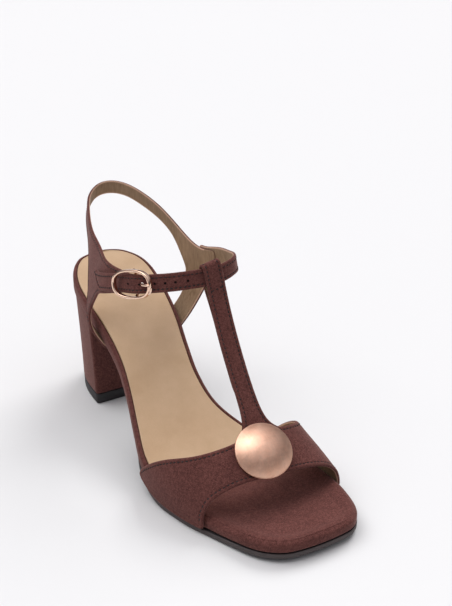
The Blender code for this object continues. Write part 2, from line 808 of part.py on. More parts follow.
def make_vamp(look):
    points = []
    rows = []
    for share in VAMP_ROWS:
        row = []
        for around in VAMP_STEPS:
            at = back_at(around) + (front_at(around) - back_at(around)) * share
            row.append(foot_form(around, at))
        rows.append(row)
    vamp = add_rows(points, rows)
    faces = grid_faces(vamp)
    first = VAMP_STEPS.index(ROOT_FROM)
    last = VAMP_STEPS.index(ROOT_TO)
    root = vamp[0][first:last + 1]
    front, rest = tongue_rows([points[i] for i in root])
    tongue = [root, *add_rows(points, front + rest)]
    faces += [tuple(reversed(f)) for f in grid_faces(tongue)]
    thickness = np.full(len(points), LEATHER)
    for k, row in enumerate(tongue[1:]):
        thickness[row] = max(TONGUE_LEATHER, LEATHER - 0.1 * (k + 1))
    return thick_sheet("vamp_t_strap", points, faces, thickness, look)


def stations(start, stop, step):
    count = max(int(round((stop - start) / step)), 1)
    return [start + (stop - start) * k / count for k in range(count + 1)]


def leg_rows(top, table, foot, side):
    """Rows from the lower edge of the ring down and under the footbed."""
    count = len(top)
    shares = [c / (count - 1) for c in range(count)]
    if side < 0:
        feet = [foot[1] + (foot[0] - foot[1]) * s for s in shares]
    else:
        feet = [foot[0] + (foot[1] - foot[0]) * s for s in shares]
    ends = []
    for at in feet:
        y = y_of(at)
        x = edge_x(side, y) + side * (GAP + QUARTER_LEATHER / 2)
        ends.append(np.array([x, y, footbed_under(at) + 1.0]))
    rows = []
    for down, out, back, front in zip(*(column(table, LEG_COLUMNS, name) for name in LEG_COLUMNS)):
        row = []
        for c in range(count):
            s = shares[c] if side > 0 else 1 - shares[c]
            shift = (back * (1 - s) + front * s) * LENGTH
            p = top[c] * (1 - down) + ends[c] * down
            row.append(p + np.array([side * out * BALL_WIDTH, shift, 0.0]))
        rows.append(row)
    rows.append([p + np.array([side * 0.1, 0, 0]) for p in ends])
    half = QUARTER_LEATHER / 2
    low = [p + np.array([-side * (half + 0.5), 0, -1.0 - GAP - half - 0.1]) for p in ends]
    rows.append(low)
    rows.append([p + np.array([-side * (LEG_TUCK - 1.0), 0, 0]) for p in low])
    return rows


def make_quarter(look):
    points = []
    step = 0.5
    along = stations(QUARTER_FROM, QUARTER_TO, step)
    shares = (0.0, 0.22, 0.395, 0.605, 0.78, 1.0)
    rows = [[ring_band(s, share, tab_out(s)) for share in shares] for s in along]
    band = add_rows(points, rows)
    bar = buckle_frame_axes()
    middle = bar["centre"]
    wrap = []
    reach = BAR_DIAMETER / 2 + 0.2 + TAB_LEATHER / 2
    for degrees in TAB_TURN:
        angle = math.radians(degrees)
        spoke = bar["run"] * math.cos(angle) * reach + bar["out"] * math.sin(angle) * reach
        wrap.append([middle + spoke + bar["up"] * (share - 0.5) * TAB_WIDTH for share in shares])
    for run, sink in zip(*(column(TAB_TAIL, TAB_TAIL_COLUMNS, name) for name in TAB_TAIL_COLUMNS)):
        centre = middle + bar["run"] * run * STRAP_WIDTH - bar["out"] * (reach + sink * STRAP_LEATHER)
        wrap.append([centre + bar["up"] * (share - 0.5) * TAB_WIDTH for share in shares])
    tail = add_rows(points, wrap)
    grid = [*tail[::-1], *band]
    slot = {(r, 2) for r in range(len(tail) - len(TAB_TURN) - 1, len(tail))}
    faces = grid_faces(grid, slot)
    offset = len(tail)
    for (low, high), table, foot, side in (
        (LATERAL_LEG, LATERAL_LEG_ROWS, LATERAL_FOOT, -1),
        (MEDIAL_LEG, MEDIAL_LEG_ROWS, MEDIAL_FOOT, 1),
    ):
        first = int(round((low - QUARTER_FROM) / step)) + offset
        last = int(round((high - QUARTER_FROM) / step)) + offset
        edge = [grid[r][0] for r in range(first, last + 1)]
        rows = leg_rows([points[i] for i in edge], table, foot, side)
        leg = [edge, *add_rows(points, rows)]
        faces += grid_faces(leg)
    thickness = np.full(len(points), QUARTER_LEATHER)
    for row in tail:
        thickness[row] = TAB_LEATHER
    for r, s in enumerate(along):
        if s < 2.0:
            thickness[band[r]] = TAB_LEATHER + (QUARTER_LEATHER - TAB_LEATHER) * s / 2.0
    return thick_sheet("quarter_back_strap", points, faces, thickness, look)


def buckle_frame_axes():
    """Centre of the buckle's bar, with the directions of the strap there."""
    middle, along, outward, up = ring_frame(0.0)
    near = ring_frame(29.2)[0]
    far = ring_frame(0.8)[0]
    run = unit(far - near)
    up = unit(up - run * float(up @ run))
    out = unit(np.cross(run, up))
    if out @ outward < 0:
        out = -out
    drop = tab_out(0.0) - TAB_LEATHER / 2 - 0.2 - BAR_DIAMETER / 2
    return {"centre": middle + outward * drop, "run": run, "out": out, "up": up}


def make_buckle(look):
    axes = buckle_frame_axes()
    centre = axes["centre"] + axes["out"] * FRAME_LIFT
    half = (FRAME_LENGTH / 2 - FRAME_RAIL / 2, FRAME_HEIGHT / 2 - FRAME_RAIL / 2)
    section = (
        (-0.5, -0.30), (-0.30, -0.5), (0.30, -0.5), (0.5, -0.30),
        (0.5, 0.30), (0.30, 0.5), (-0.30, 0.5), (-0.5, 0.30),
    )
    steps = 40
    points = []
    for k in range(steps):
        angle = 2 * math.pi * k / steps
        c, s = math.cos(angle), math.sin(angle)
        x = math.copysign(abs(c) ** (2 / FRAME_POWER), c) * half[0]
        y = math.copysign(abs(s) ** (2 / FRAME_POWER), s) * half[1]
        nx = math.copysign(abs(c) ** (2 - 2 / FRAME_POWER), c) / half[0]
        ny = math.copysign(abs(s) ** (2 - 2 / FRAME_POWER), s) / half[1]
        length = math.hypot(nx, ny)
        nx /= length
        ny /= length
        bow = 0.5 * (x / half[0]) ** 2 + x * FRAME_SLOPE
        for a, b in section:
            px = x + nx * a * FRAME_RAIL
            py = y + ny * a * FRAME_RAIL
            points.append(
                centre + axes["run"] * px + axes["up"] * py + axes["out"] * (b * FRAME_DEPTH + bow)
            )
    ring = len(section)
    faces = []
    for k in range(steps):
        for j in range(ring):
            a = k * ring + j
            b = k * ring + (j + 1) % ring
            c = ((k + 1) % steps) * ring + (j + 1) % ring
            d = ((k + 1) % steps) * ring + j
            faces.append((a, b, c, d))
    frame = new_object("buckle_frame", points, faces, look)
    reach = half[1] + 0.2
    bar = tube("buckle_bar", [
        axes["centre"] - axes["up"] * reach + axes["out"] * 1.6,
        axes["centre"] - axes["up"] * (reach - 0.8) + axes["out"] * 0.4,
        axes["centre"] - axes["up"] * (reach - 1.6),
        axes["centre"] + axes["up"] * (reach - 1.6),
        axes["centre"] + axes["up"] * (reach - 0.8) + axes["out"] * 0.4,
        axes["centre"] + axes["up"] * reach + axes["out"] * 1.6,
    ], BAR_DIAMETER / 2, axes["run"], look, 10)
    cut(frame, bar, "UNION")
    return frame


def tube(name, path, radius, guide, look, sides=8):
    """Round bar along a path; guide is a direction that the path never follows."""
    path = [np.asarray(p, float) for p in path]
    points = []
    for k, p in enumerate(path):
        ahead = path[min(k + 1, len(path) - 1)]
        behind = path[max(k - 1, 0)]
        run = unit(ahead - behind)
        u = unit(np.cross(run, guide))
        v = np.cross(run, u)
        size = radius if np.isscalar(radius) else radius[k]
        for j in range(sides):
            angle = 2 * math.pi * j / sides
            points.append(p + size * (u * math.cos(angle) + v * math.sin(angle)))
    faces = []
    for k in range(len(path) - 1):
        for j in range(sides):
            a = k * sides + j
            b = k * sides + (j + 1) % sides
            faces.append((a, b, b + sides, a + sides))
    faces.append(tuple(range(sides))[::-1])
    faces.append(tuple(range((len(path) - 1) * sides, len(path) * sides)))
    return new_object(name, points, faces, look)


def cut(body, tool, operation):
    tool.hide_render = True
    tool.display_type = "WIRE"
    step = body.modifiers.new(tool.name, "BOOLEAN")
    step.operation = operation
    step.solver = "EXACT"
    step.object = tool


# Prong from under the bar, up through its hole in the strap and onto the frame, from the bar's axis. run:
# along the strap, share of FRAME_LENGTH. out: away from the ankle, share of FRAME_DEPTH.
PRONG = (
    (0.050, -0.50),
    (0.000, -0.70),
    (-0.056, -0.52),
    (-0.098, -0.18),
    (-0.142, 0.03),
    (-0.193, 0.37),
    (-0.236, 0.83),
    (-0.284, 1.36),
    (-0.346, 1.70),
    (-0.433, 1.82),
    (-0.540, 1.78),
)
PRONG_HOLE = (-0.215, 0.66)


def prong_point(axes, row):
    run, out = row
    return axes["centre"] + axes["run"] * run * FRAME_LENGTH + axes["out"] * out * FRAME_DEPTH


def make_prong(look):
    axes = buckle_frame_axes()
    path = [prong_point(axes, row) for row in PRONG]
    radius = [PRONG_DIAMETER / 2] * (len(path) - 1) + [PRONG_DIAMETER * 0.42]
    return tube("buckle_prong", path, radius, axes["up"], look, 8)


def make_ankle_strap(look):
    points = []
    along = stations(STRAP_FROM, STRAP_TO, 0.33)
    across = (-0.5, -0.25, 0.0, 0.25, 0.5)
    rows = []
    for k, s in enumerate(along):
        row = []
        for a in across:
            station = s
            near = max(0.0, 1 - (len(along) - 1 - k) / 3)
            station += TIP_SLANT * (a + 0.15) * near
            row.append(strap_point(station, a, strap_out(station)))
        rows.append(row)
    grid = add_rows(points, rows)
    faces = grid_faces(grid)
    strap = thick_sheet("ankle_strap", points, faces, STRAP_LEATHER, look)
    axes = buckle_frame_axes()
    hole = prong_point(axes, PRONG_HOLE)
    lean = unit(axes["out"] * 1.25 - axes["run"] * 1.0)
    cutter = tube("prong_hole", [hole - lean * 2.6, hole + lean * 2.6], 1.05, axes["up"], look, 10)
    cut(strap, cutter, "DIFFERENCE")
    return strap


def button_seat(normal, seat, under):
    """Height of the button over its seat along its normal, just clear of the vamp and the T strap's root."""
    count = VAMP_STEPS.index(ROOT_TO) - VAMP_STEPS.index(ROOT_FROM) + 1
    around = np.linspace(ROOT_FROM, ROOT_TO, count)
    front, _ = tongue_rows([foot_form(a, back_at(a)) for a in around])
    skin = [np.array(row) for row in front[:4]]
    for share in (0.0, 0.25, 0.5, 0.75, 1.0):
        row = []
        for around in range(54, 124, 3):
            at = back_at(around) + (front_at(around) - back_at(around)) * share
            row.append(foot_form(around, at))
        skin.append(np.array(row))
    reach = []
    for row in skin:
        offset = row - seat
        height = offset @ normal + LEATHER / 2
        radius = np.linalg.norm(offset - np.outer(offset @ normal, normal), axis=1)
        reach += [h - under(r) for h, r in zip(height, radius) if r < BUTTON_DIAMETER / 2]
    return max(reach) + GAP


def make_button(look):
    """Domed disc seated over the root of the T strap."""
    half = BUTTON_DIAMETER / 2 / LENGTH
    behind = foot_form(BUTTON_AROUND, BUTTON_AT - half)
    ahead = foot_form(BUTTON_AROUND, BUTTON_AT + half)
    tilt = math.atan2(behind[2] - ahead[2], behind[1] - ahead[1]) + math.radians(BUTTON_LEAN)
    roll = math.radians(BUTTON_ROLL)
    normal = unit([math.sin(roll), -math.sin(tilt) * math.cos(roll), math.cos(tilt) * math.cos(roll)])
    side = unit(np.cross([0.0, 1.0, 0.0], normal))
    side = side if side[0] > 0 else -side
    ahead = np.cross(normal, side)
    radius = BUTTON_DIAMETER / 2
    profile = [
        (0.0, 0.0),
        (radius * 0.55, 0.0),
        (radius * 0.86, 0.9),
        (radius * 0.975, 1.3),
        (radius, 1.3 + BUTTON_RIM * 0.5),
        (radius * 0.975, 1.3 + BUTTON_RIM),
    ]
    under = smooth([r for r, _ in profile[1:5]], [h for _, h in profile[1:5]])
    seat = foot_form(BUTTON_AROUND, BUTTON_AT)
    base = seat + normal * button_seat(normal, seat, under)
    for k in range(1, 6):
        angle = math.pi / 2 * k / 6
        height = 1.3 + BUTTON_RIM + BUTTON_DOME * math.sin(angle)
        profile.append((radius * 0.975 * math.cos(angle) ** 0.9, height))
    profile.append((0.0, 1.3 + BUTTON_RIM + BUTTON_DOME))
    steps = 32
    points = [base + normal * profile[0][1], base + normal * profile[-1][1]]
    faces = []
    rings = []
    for r, h in profile[1:-1]:
        ring = []
        for k in range(steps):
            angle = 2 * math.pi * k / steps
            ring.append(len(points))
            points.append(base + normal * h + (side * math.cos(angle) + ahead * math.sin(angle)) * r)
        rings.append(ring)
    for low, high in zip(rings, rings[1:]):
        for k in range(steps):
            j = (k + 1) % steps
            faces.append((low[k], low[j], high[j], high[k]))
    for k in range(steps):
        j = (k + 1) % steps
        faces.append((0, rings[0][j], rings[0][k]))
        faces.append((1, rings[-1][k], rings[-1][j]))
    return new_object("button", points, faces, look)


def centre_on_origin():
    """Puts the middle of the whole plan over the origin."""
    items = [item for item in bpy.data.objects if item.type == "MESH"]
    points = np.array([v.co[:] for item in items if not item.hide_render for v in item.data.vertices])
    middle = (points.min(axis=0) + points.max(axis=0)) / 2
    for item in items:
        item.data.transform(Matrix.Translation((-middle[0], -middle[1], 0.0)))


def main():
    clear_scene()
    suede = material("suede", SUEDE, 0.95)
    tan = material("sock_leather", TAN, 0.5)
    rubber = material("rubber", RUBBER, 0.6)
    metal = material("buckle_metal", ROSE_METAL, 0.2, 1.0)
    foil = material("button_foil", FOIL, 0.35, 1.0)
    make_footbed(suede)
    make_sock(tan)
    make_outsole(rubber)
    make_heel(suede, rubber)
    make_vamp(suede)
    make_quarter(suede)
    make_ankle_strap(suede)
    make_buckle(metal)
    make_prong(metal)
    make_button(foil)
    centre_on_origin()


main()
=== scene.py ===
"""Looks of a right t strap sandal with a block heel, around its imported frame.

The tables and the shape functions are in millimetres, with the toe at -Y and the medial side at +X.
"""

import math

import bmesh
import bpy
import numpy as np
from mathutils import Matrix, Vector
from mathutils.bvhtree import BVHTree
from mathutils.kdtree import KDTree


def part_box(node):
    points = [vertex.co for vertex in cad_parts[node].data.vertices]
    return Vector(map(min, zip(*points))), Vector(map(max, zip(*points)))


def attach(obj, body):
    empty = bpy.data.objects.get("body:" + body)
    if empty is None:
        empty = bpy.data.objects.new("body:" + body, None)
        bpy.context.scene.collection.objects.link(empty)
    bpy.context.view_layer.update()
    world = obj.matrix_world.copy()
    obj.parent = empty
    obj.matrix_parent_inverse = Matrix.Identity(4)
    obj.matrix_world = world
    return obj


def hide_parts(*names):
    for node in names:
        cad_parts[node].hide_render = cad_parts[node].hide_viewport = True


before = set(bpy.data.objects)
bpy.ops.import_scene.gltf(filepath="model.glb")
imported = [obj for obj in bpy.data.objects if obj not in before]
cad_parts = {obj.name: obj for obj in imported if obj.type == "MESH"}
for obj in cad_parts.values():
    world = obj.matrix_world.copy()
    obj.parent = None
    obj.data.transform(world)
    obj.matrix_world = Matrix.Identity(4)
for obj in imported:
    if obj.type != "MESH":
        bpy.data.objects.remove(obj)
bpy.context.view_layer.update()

MM = 0.001
OUTLINE_STEPS = 8
FINE = 3


def table(names, rows):
    """Rows of numbers as one array for each named column."""
    return dict(zip(names.split(), np.array(rows, float).T))


# Overall sizes
LENGTH = 230.0
BALL_WIDTH = 83.0
BALL_HEIGHT = 9.0
HEEL_RISE = 66.0
TOE_SPRING = 2.8
INSTEP_HEIGHT = 50.0
COLLAR_HEIGHT = 45.0

# Sole
BOARD_THICKNESS = 7.5
OUTSOLE_THICKNESS = 2.7
OUTSOLE_WAIST = 2.0
RIM_WIDTH = 2.3
RECESS_DEPTH = 1.0
SOCK_THICKNESS = 0.9
CUP_DEPTH = 0.7
HEEL_LENGTH = 48.5
HEEL_INSET = 0.8
HEEL_TAPER = 0.90
HEEL_TAPER_BACK = 0.95
TOP_PIECE_HEIGHT = 6.3
BREAST_RADIUS = 1.6

# Upper
LEATHER = 1.8
QUARTER_LEATHER = 1.5
STRAP_WIDTH = 9.8
STRAP_LEATHER = 1.6
TAB_LEATHER = 0.9
TAB_WIDTH = 0.93 * STRAP_WIDTH
TONGUE_LEATHER = 1.2
TONGUE_BACK_WIDTH = 0.94
LOOP_TURN = 8.0
LOOP_ROOM = 0.7
LEG_TUCK = 3.3

# Buckle
FRAME_LENGTH = 24.6
FRAME_HEIGHT = STRAP_WIDTH + 5.6
FRAME_RAIL = 1.5
FRAME_DEPTH = 2.8
FRAME_POWER = 2.5
FRAME_LIFT = 3.3
FRAME_SLOPE = 0.09
BAR_DIAMETER = 1.8
PRONG_DIAMETER = 1.3

# Button
BUTTON_DIAMETER = 29.0
BUTTON_DOME = 5.8
BUTTON_RIM = 1.6
BUTTON_LEAN = 6.4
BUTTON_ROLL = -8.0
BUTTON_AT = 0.802
BUTTON_AROUND = 86

# Fits
GAP = 0.3
SIDE_GAP = 0.8
STRAP_STEP = QUARTER_LEATHER / 2 + GAP + STRAP_LEATHER / 2

# Sections of the last from the heel to the toe. at: share of LENGTH from the heel. lateral, medial: half
# widths as shares of BALL_WIDTH. rise: share of HEEL_RISE above the ball. spring: share of TOE_SPRING.
# board: share of BOARD_THICKNESS. edge: outsole edge beyond the footbed, share of BALL_WIDTH.
LAST = table("at lateral medial rise spring board edge", (
    (0.013, 0.139, 0.139, 0.996, 0.00, 1.07, -0.024),
    (0.035, 0.217, 0.208, 0.982, 0.00, 1.07, -0.024),
    (0.070, 0.280, 0.257, 0.961, 0.00, 1.07, -0.024),
    (0.113, 0.325, 0.272, 0.932, 0.00, 1.07, -0.024),
    (0.165, 0.349, 0.262, 0.893, 0.00, 1.05, -0.024),
    (0.235, 0.357, 0.236, 0.824, 0.00, 1.03, -0.039),
    (0.304, 0.348, 0.211, 0.712, 0.00, 1.00, -0.041),
    (0.374, 0.352, 0.172, 0.567, 0.00, 1.00, -0.036),
    (0.443, 0.389, 0.146, 0.411, 0.00, 1.00, -0.029),
    (0.513, 0.443, 0.167, 0.256, 0.00, 1.00, -0.019),
    (0.583, 0.494, 0.265, 0.126, 0.00, 1.00, 0.005),
    (0.652, 0.504, 0.380, 0.033, 0.00, 0.92, 0.014),
    (0.704, 0.489, 0.446, 0.000, 0.00, 0.80, 0.017),
    (0.770, 0.449, 0.487, 0.000, 0.00, 0.80, 0.017),
    (0.835, 0.390, 0.494, 0.000, 0.10, 0.80, 0.011),
    (0.885, 0.345, 0.474, 0.000, 0.34, 0.80, 0.006),
    (0.930, 0.297, 0.441, 0.000, 0.58, 0.80, 0.004),
    (0.961, 0.243, 0.402, 0.000, 0.76, 0.80, 0.002),
    (0.983, 0.172, 0.347, 0.000, 0.89, 0.80, 0.001),
    (0.995, 0.085, 0.270, 0.000, 0.97, 0.80, 0.001),
))
HEEL_TIP = (0.000, 0.020)
TOE_TIP = (1.000, 0.090)

# Foot form over the forefoot. at: share of LENGTH. ridge: place of the highest line, share of BALL_WIDTH.
# height: of that line over the footbed, share of INSTEP_HEIGHT.
INSTEP = table("at ridge height", (
    (0.500, 0.036, 1.04),
    (0.583, 0.036, 0.99),
    (0.626, 0.036, 0.97),
    (0.670, 0.036, 0.91),
    (0.713, 0.048, 0.78),
    (0.757, 0.060, 0.63),
    (0.800, 0.066, 0.50),
    (0.843, 0.072, 0.37),
    (0.887, 0.072, 0.28),
    (0.930, 0.072, 0.22),
))
SECTION_POWER = 2.4

# Vamp edges around the foot form. around: degrees from the lateral to the medial feather line. back, front:
# shares of LENGTH from the heel.
VAMP = table("around back front", (
    (0, 0.588, 0.824),
    (9, 0.626, 0.820),
    (17, 0.655, 0.818),
    (30, 0.699, 0.821),
    (45, 0.738, 0.829),
    (60, 0.757, 0.836),
    (73, 0.764, 0.843),
    (84, 0.764, 0.848),
    (100, 0.762, 0.852),
    (112, 0.759, 0.852),
    (122, 0.751, 0.851),
    (135, 0.735, 0.849),
    (150, 0.700, 0.846),
    (165, 0.656, 0.843),
    (180, 0.612, 0.841),
))
VAMP_STEPS = (0, 8, 16, 24, 32, 40, 48, 56, 63, 69, 74, 77, 84, 91, 98, 105, 108, 112, 117, 123, 130, 137,
              145, 153, 160, 167, 174, 180)
VAMP_ROWS = (0.0, 0.13, 0.33, 0.55, 0.76, 0.9, 1.0)
ROOT_FROM, ROOT_TO = 77, 105

# T strap between the vamp and the ankle strap. run, climb: shares of the way back and of the way up.
# width: share of STRAP_WIDTH.
TONGUE = table("run climb width", (
    (0.060, 0.045, 1.66),
    (0.130, 0.100, 1.30),
    (0.220, 0.170, 1.14),
    (0.330, 0.262, 1.09),
    (0.460, 0.380, 1.07),
    (0.590, 0.505, 1.07),
    (0.720, 0.640, 1.07),
    (0.850, 0.790, 1.07),
    (0.940, 0.905, 1.07),
))
TONGUE_RING = 24.95

# Ring of the ankle opening, from the buckle round the heel and back. at: share of LENGTH. side: share of
# BALL_WIDTH. mid, top, bottom: heights over the heel seat as shares of COLLAR_HEIGHT, of the straps' middle
# line and of the quarter's two edges. lean: outward run for each millimetre down.
RING = table("at side mid lean top bottom", (
    (0.465, -0.320, 0.578, 0.18, 0.679, 0.477),
    (0.413, -0.364, 0.505, 0.24, 0.650, 0.382),
    (0.361, -0.380, 0.413, 0.22, 0.631, 0.273),
    (0.317, -0.377, 0.342, 0.22, 0.633, 0.184),
    (0.274, -0.352, 0.330, 0.24, 0.655, 0.116),
    (0.230, -0.316, 0.420, 0.22, 0.688, 0.118),
    (0.187, -0.272, 0.556, 0.14, 0.722, 0.380),
    (0.139, -0.221, 0.640, 0.08, 0.768, 0.492),
    (0.074, -0.148, 0.706, 0.14, 0.822, 0.590),
    (0.029, -0.077, 0.780, 0.12, 0.871, 0.695),
    (0.010, 0.012, 0.855, 0.05, 0.942, 0.772),
    (0.021, 0.100, 0.890, 0.00, 0.980, 0.806),
    (0.051, 0.183, 0.870, 0.00, 0.958, 0.784),
    (0.097, 0.250, 0.786, 0.05, 0.884, 0.690),
    (0.149, 0.303, 0.678, 0.05, 0.773, 0.578),
    (0.200, 0.338, 0.529, 0.05, 0.638, 0.411),
    (0.243, 0.357, 0.376, 0.04, 0.534, 0.089),
    (0.283, 0.367, 0.358, 0.04, 0.472, 0.031),
    (0.324, 0.376, 0.376, 0.08, 0.468, 0.056),
    (0.370, 0.379, 0.450, 0.14, 0.520, 0.267),
    (0.422, 0.375, 0.536, 0.18, 0.590, 0.390),
    (0.470, 0.356, 0.606, 0.20, 0.650, 0.450),
    (0.508, 0.317, 0.666, 0.18, 0.710, 0.510),
    (0.535, 0.258, 0.692, 0.06, 0.760, 0.560),
    (0.550, 0.170, 0.686, 0.08, 0.790, 0.590),
    (0.554, 0.072, 0.678, 0.10, 0.800, 0.600),
    (0.550, -0.030, 0.678, 0.12, 0.790, 0.590),
    (0.540, -0.127, 0.670, 0.13, 0.780, 0.570),
    (0.522, -0.207, 0.649, 0.14, 0.750, 0.550),
    (0.497, -0.271, 0.618, 0.16, 0.720, 0.520),
))
QUARTER_FROM, QUARTER_TO = 0.0, 19.0
LATERAL_LEG = (3.0, 5.0)
MEDIAL_LEG = (16.0, 18.5)
STRAP_FROM, STRAP_TO = 17.4, 32.95
TIP_SLANT = 1.1

# Ankle strap and buckle tab outside the ring. along: ring station. out: share of STRAP_STEP.
STRAP_LAYER = table("along out", (
    (17.0, 1.00),
    (19.1, 1.00),
    (21.0, 0.00),
    (27.5, 0.00),
    (28.5, 0.05),
    (29.3, 0.60),
    (30.0, 1.46),
    (30.5, 1.16),
    (31.0, 0.78),
    (31.6, 0.93),
    (32.2, 1.00),
    (34.0, 1.00),
))
TAB_LAYER = table("along out", (
    (0.0, 0.62),
    (0.45, 0.26),
    (1.0, -0.20),
    (1.6, -0.10),
    (2.2, 0.00),
    (19.0, 0.00),
))

# Legs of the quarter, from the ring down to the footbed. down: share of the way from the ring to the
# footbed's lower edge. out: beyond the straight line between them, in shares of BALL_WIDTH.
# back, front: shifts of the two edges, in shares of LENGTH.
LATERAL_LEG_ROWS = table("down out back front", (
    (0.12, 0.002, 0.001, 0.013),
    (0.26, 0.008, 0.004, 0.028),
    (0.44, 0.022, 0.004, 0.040),
    (0.64, 0.034, 0.000, 0.042),
    (0.84, 0.032, -0.003, 0.026),
))
MEDIAL_LEG_ROWS = table("down out back front", (
    (0.12, 0.004, -0.004, -0.001),
    (0.26, 0.012, -0.008, 0.000),
    (0.44, 0.022, -0.010, 0.002),
    (0.64, 0.024, -0.008, 0.002),
    (0.84, 0.016, -0.003, 0.000),
))
LATERAL_FOOT = (0.256, 0.302)
MEDIAL_FOOT = (0.247, 0.304)

# Folded end of the buckle tab behind the strap. run: along the strap, share of STRAP_WIDTH. sink: toward the
# ankle, share of STRAP_LEATHER.
TAB_TAIL = table("run sink", (
    (0.31, 0.22),
    (0.66, 0.56),
    (0.97, 0.81),
))
TAB_TURN = (90, 125, 160, 195, 230, 270)


def smooth(knots, values):
    """Monotone cubic through the knots: flat wherever two neighbouring values are equal."""
    x = np.asarray(knots, float)
    v = np.asarray(values, float)
    h = np.diff(x)
    slope = np.diff(v) / h
    m = np.zeros_like(v)
    m[0] = slope[0]
    m[-1] = slope[-1]
    for i in range(1, len(x) - 1):
        if slope[i - 1] * slope[i] > 0:
            a = 2 * h[i] + h[i - 1]
            b = h[i] + 2 * h[i - 1]
            m[i] = (a + b) / (a / slope[i - 1] + b / slope[i])

    def at(place):
        p = float(min(max(place, x[0]), x[-1]))
        i = int(min(max(np.searchsorted(x, p, side="right") - 1, 0), len(h) - 1))
        t = (p - x[i]) / h[i]
        return float(
            (2 * t**3 - 3 * t**2 + 1) * v[i]
            + (t**3 - 2 * t**2 + t) * h[i] * m[i]
            + (3 * t**2 - 2 * t**3) * v[i + 1]
            + (t**3 - t**2) * h[i] * m[i + 1]
        )

    return at


def spline_point(p0, p1, p2, p3, t):
    return 0.5 * (
        2 * p1
        + (p2 - p0) * t
        + (2 * p0 - 5 * p1 + 4 * p2 - p3) * t**2
        + (3 * p1 - p0 - 3 * p2 + p3) * t**3
    )


def unit(vector):
    vector = np.asarray(vector, float)
    return vector / max(float(np.linalg.norm(vector)), 1e-9)


# Profile of the sole
ALONG = np.r_[0.0, LAST["at"], 1.0]
rise_at = smooth(ALONG, np.r_[1.0, LAST["rise"], 0.0])
spring_at = smooth(ALONG, np.r_[0.0, LAST["spring"], 1.0])
board_at = smooth(LAST["at"], LAST["board"])
edge_at = smooth(LAST["at"], LAST["edge"] * BALL_WIDTH)
ridge_at = smooth(INSTEP["at"], INSTEP["ridge"])
height_at = smooth(INSTEP["at"], INSTEP["height"])

SEAT = BALL_HEIGHT + HEEL_RISE
BREAST_AT = HEEL_LENGTH / LENGTH
SOCK_END = 0.745
RECESS_END = 0.785


def y_of(at):
    return (0.5 - at) * LENGTH


def at_of(y):
    return 0.5 - y / LENGTH


def footbed_top(at):
    return BALL_HEIGHT + rise_at(at) * HEEL_RISE + spring_at(at) * TOE_SPRING


def footbed_under(at):
    return footbed_top(at) - board_at(at) * BOARD_THICKNESS


def recess_at(at):
    if at >= RECESS_END:
        return 0.0
    t = min((RECESS_END - at) / (RECESS_END - SOCK_END), 1.0)
    return RECESS_DEPTH * t * t * (3 - 2 * t)


def plan_outline(steps=2):
    """Lateral and medial plan points of the footbed from heel to toe, and its two tips."""
    y = y_of(LAST["at"])
    tips = [np.array([tip[1] * BALL_WIDTH, y_of(tip[0])]) for tip in (HEEL_TIP, TOE_TIP)]
    sides = {
        "lateral": np.stack([-LAST["lateral"] * BALL_WIDTH, y], axis=1),
        "medial": np.stack([LAST["medial"] * BALL_WIDTH, y], axis=1),
    }
    out = []
    for name, other in (("lateral", "medial"), ("medial", "lateral")):
        run = [sides[other][0], tips[0], *sides[name], tips[1], sides[other][-1]]
        points = [spline_point(*run[i:i + 4], k / steps) for i in range(len(run) - 3) for k in range(steps)]
        out.append(np.array(points[1:]))
    return out[0], out[1], tips[0], tips[1]


LATERAL, MEDIAL, HEEL_POINT, TOE_POINT = plan_outline(OUTLINE_STEPS)


def edge_x(side, y):
    """Plan edge of the footbed on one side: -1 lateral, 1 medial."""
    line = LATERAL if side < 0 else MEDIAL
    return float(np.interp(-y, -line[:, 1], line[:, 0]))


def closed_loop(lateral, medial, heel_tip=None, toe_tip=None):
    start = [] if heel_tip is None else [heel_tip]
    end = [] if toe_tip is None else [toe_tip]
    return np.array([*start, *lateral, *end, *medial[::-1]])


def inset_loop(loop, distance):
    """Moves a closed plan loop inward; distance may be one value a point."""
    ahead = np.roll(loop, -1, axis=0)
    behind = np.roll(loop, 1, axis=0)
    a = ahead - loop
    b = loop - behind
    a /= np.maximum(np.linalg.norm(a, axis=1), 1e-9)[:, None]
    b /= np.maximum(np.linalg.norm(b, axis=1), 1e-9)[:, None]
    run = a + b
    run /= np.maximum(np.linalg.norm(run, axis=1), 1e-9)[:, None]
    normal = np.stack([-run[:, 1], run[:, 0]], axis=1)
    area = np.sum(loop[:, 0] * ahead[:, 1] - ahead[:, 0] * loop[:, 1])
    if area < 0:
        normal = -normal
    half_turn = np.clip(np.sum(normal * np.stack([-a[:, 1], a[:, 0]], axis=1), axis=1), -1, 1)
    stretch = 1 / np.maximum(np.abs(half_turn), 0.6)
    return loop + normal * (np.asarray(distance) * stretch)[..., None]


def lift(loop, height):
    return np.array([[p[0], p[1], height(at_of(p[1]))] for p in loop])


def footbed_loop():
    return closed_loop(LATERAL, MEDIAL, HEEL_POINT, TOE_POINT)


def heel_plan(inset):
    """Plan loop of the heel under the seat, with a flat breast and small corners."""
    breast = y_of(BREAST_AT)
    full = inset_loop(footbed_loop(), inset)
    total = len(full)
    keep = [i for i in range(1, total // 2) if full[i][1] > breast + BREAST_RADIUS + 0.8]
    lateral = [full[i] for i in keep]
    medial = [full[total - i] for i in keep]
    for side, line in ((-1, lateral), (1, medial)):
        x = edge_x(side, breast) - side * inset
        line.append(np.array([x, breast + BREAST_RADIUS]))
        line.append(np.array([x - side * BREAST_RADIUS * 0.3, breast + BREAST_RADIUS * 0.3]))
        line.append(np.array([x - side * BREAST_RADIUS, breast]))
    return closed_loop(lateral, medial, full[0])


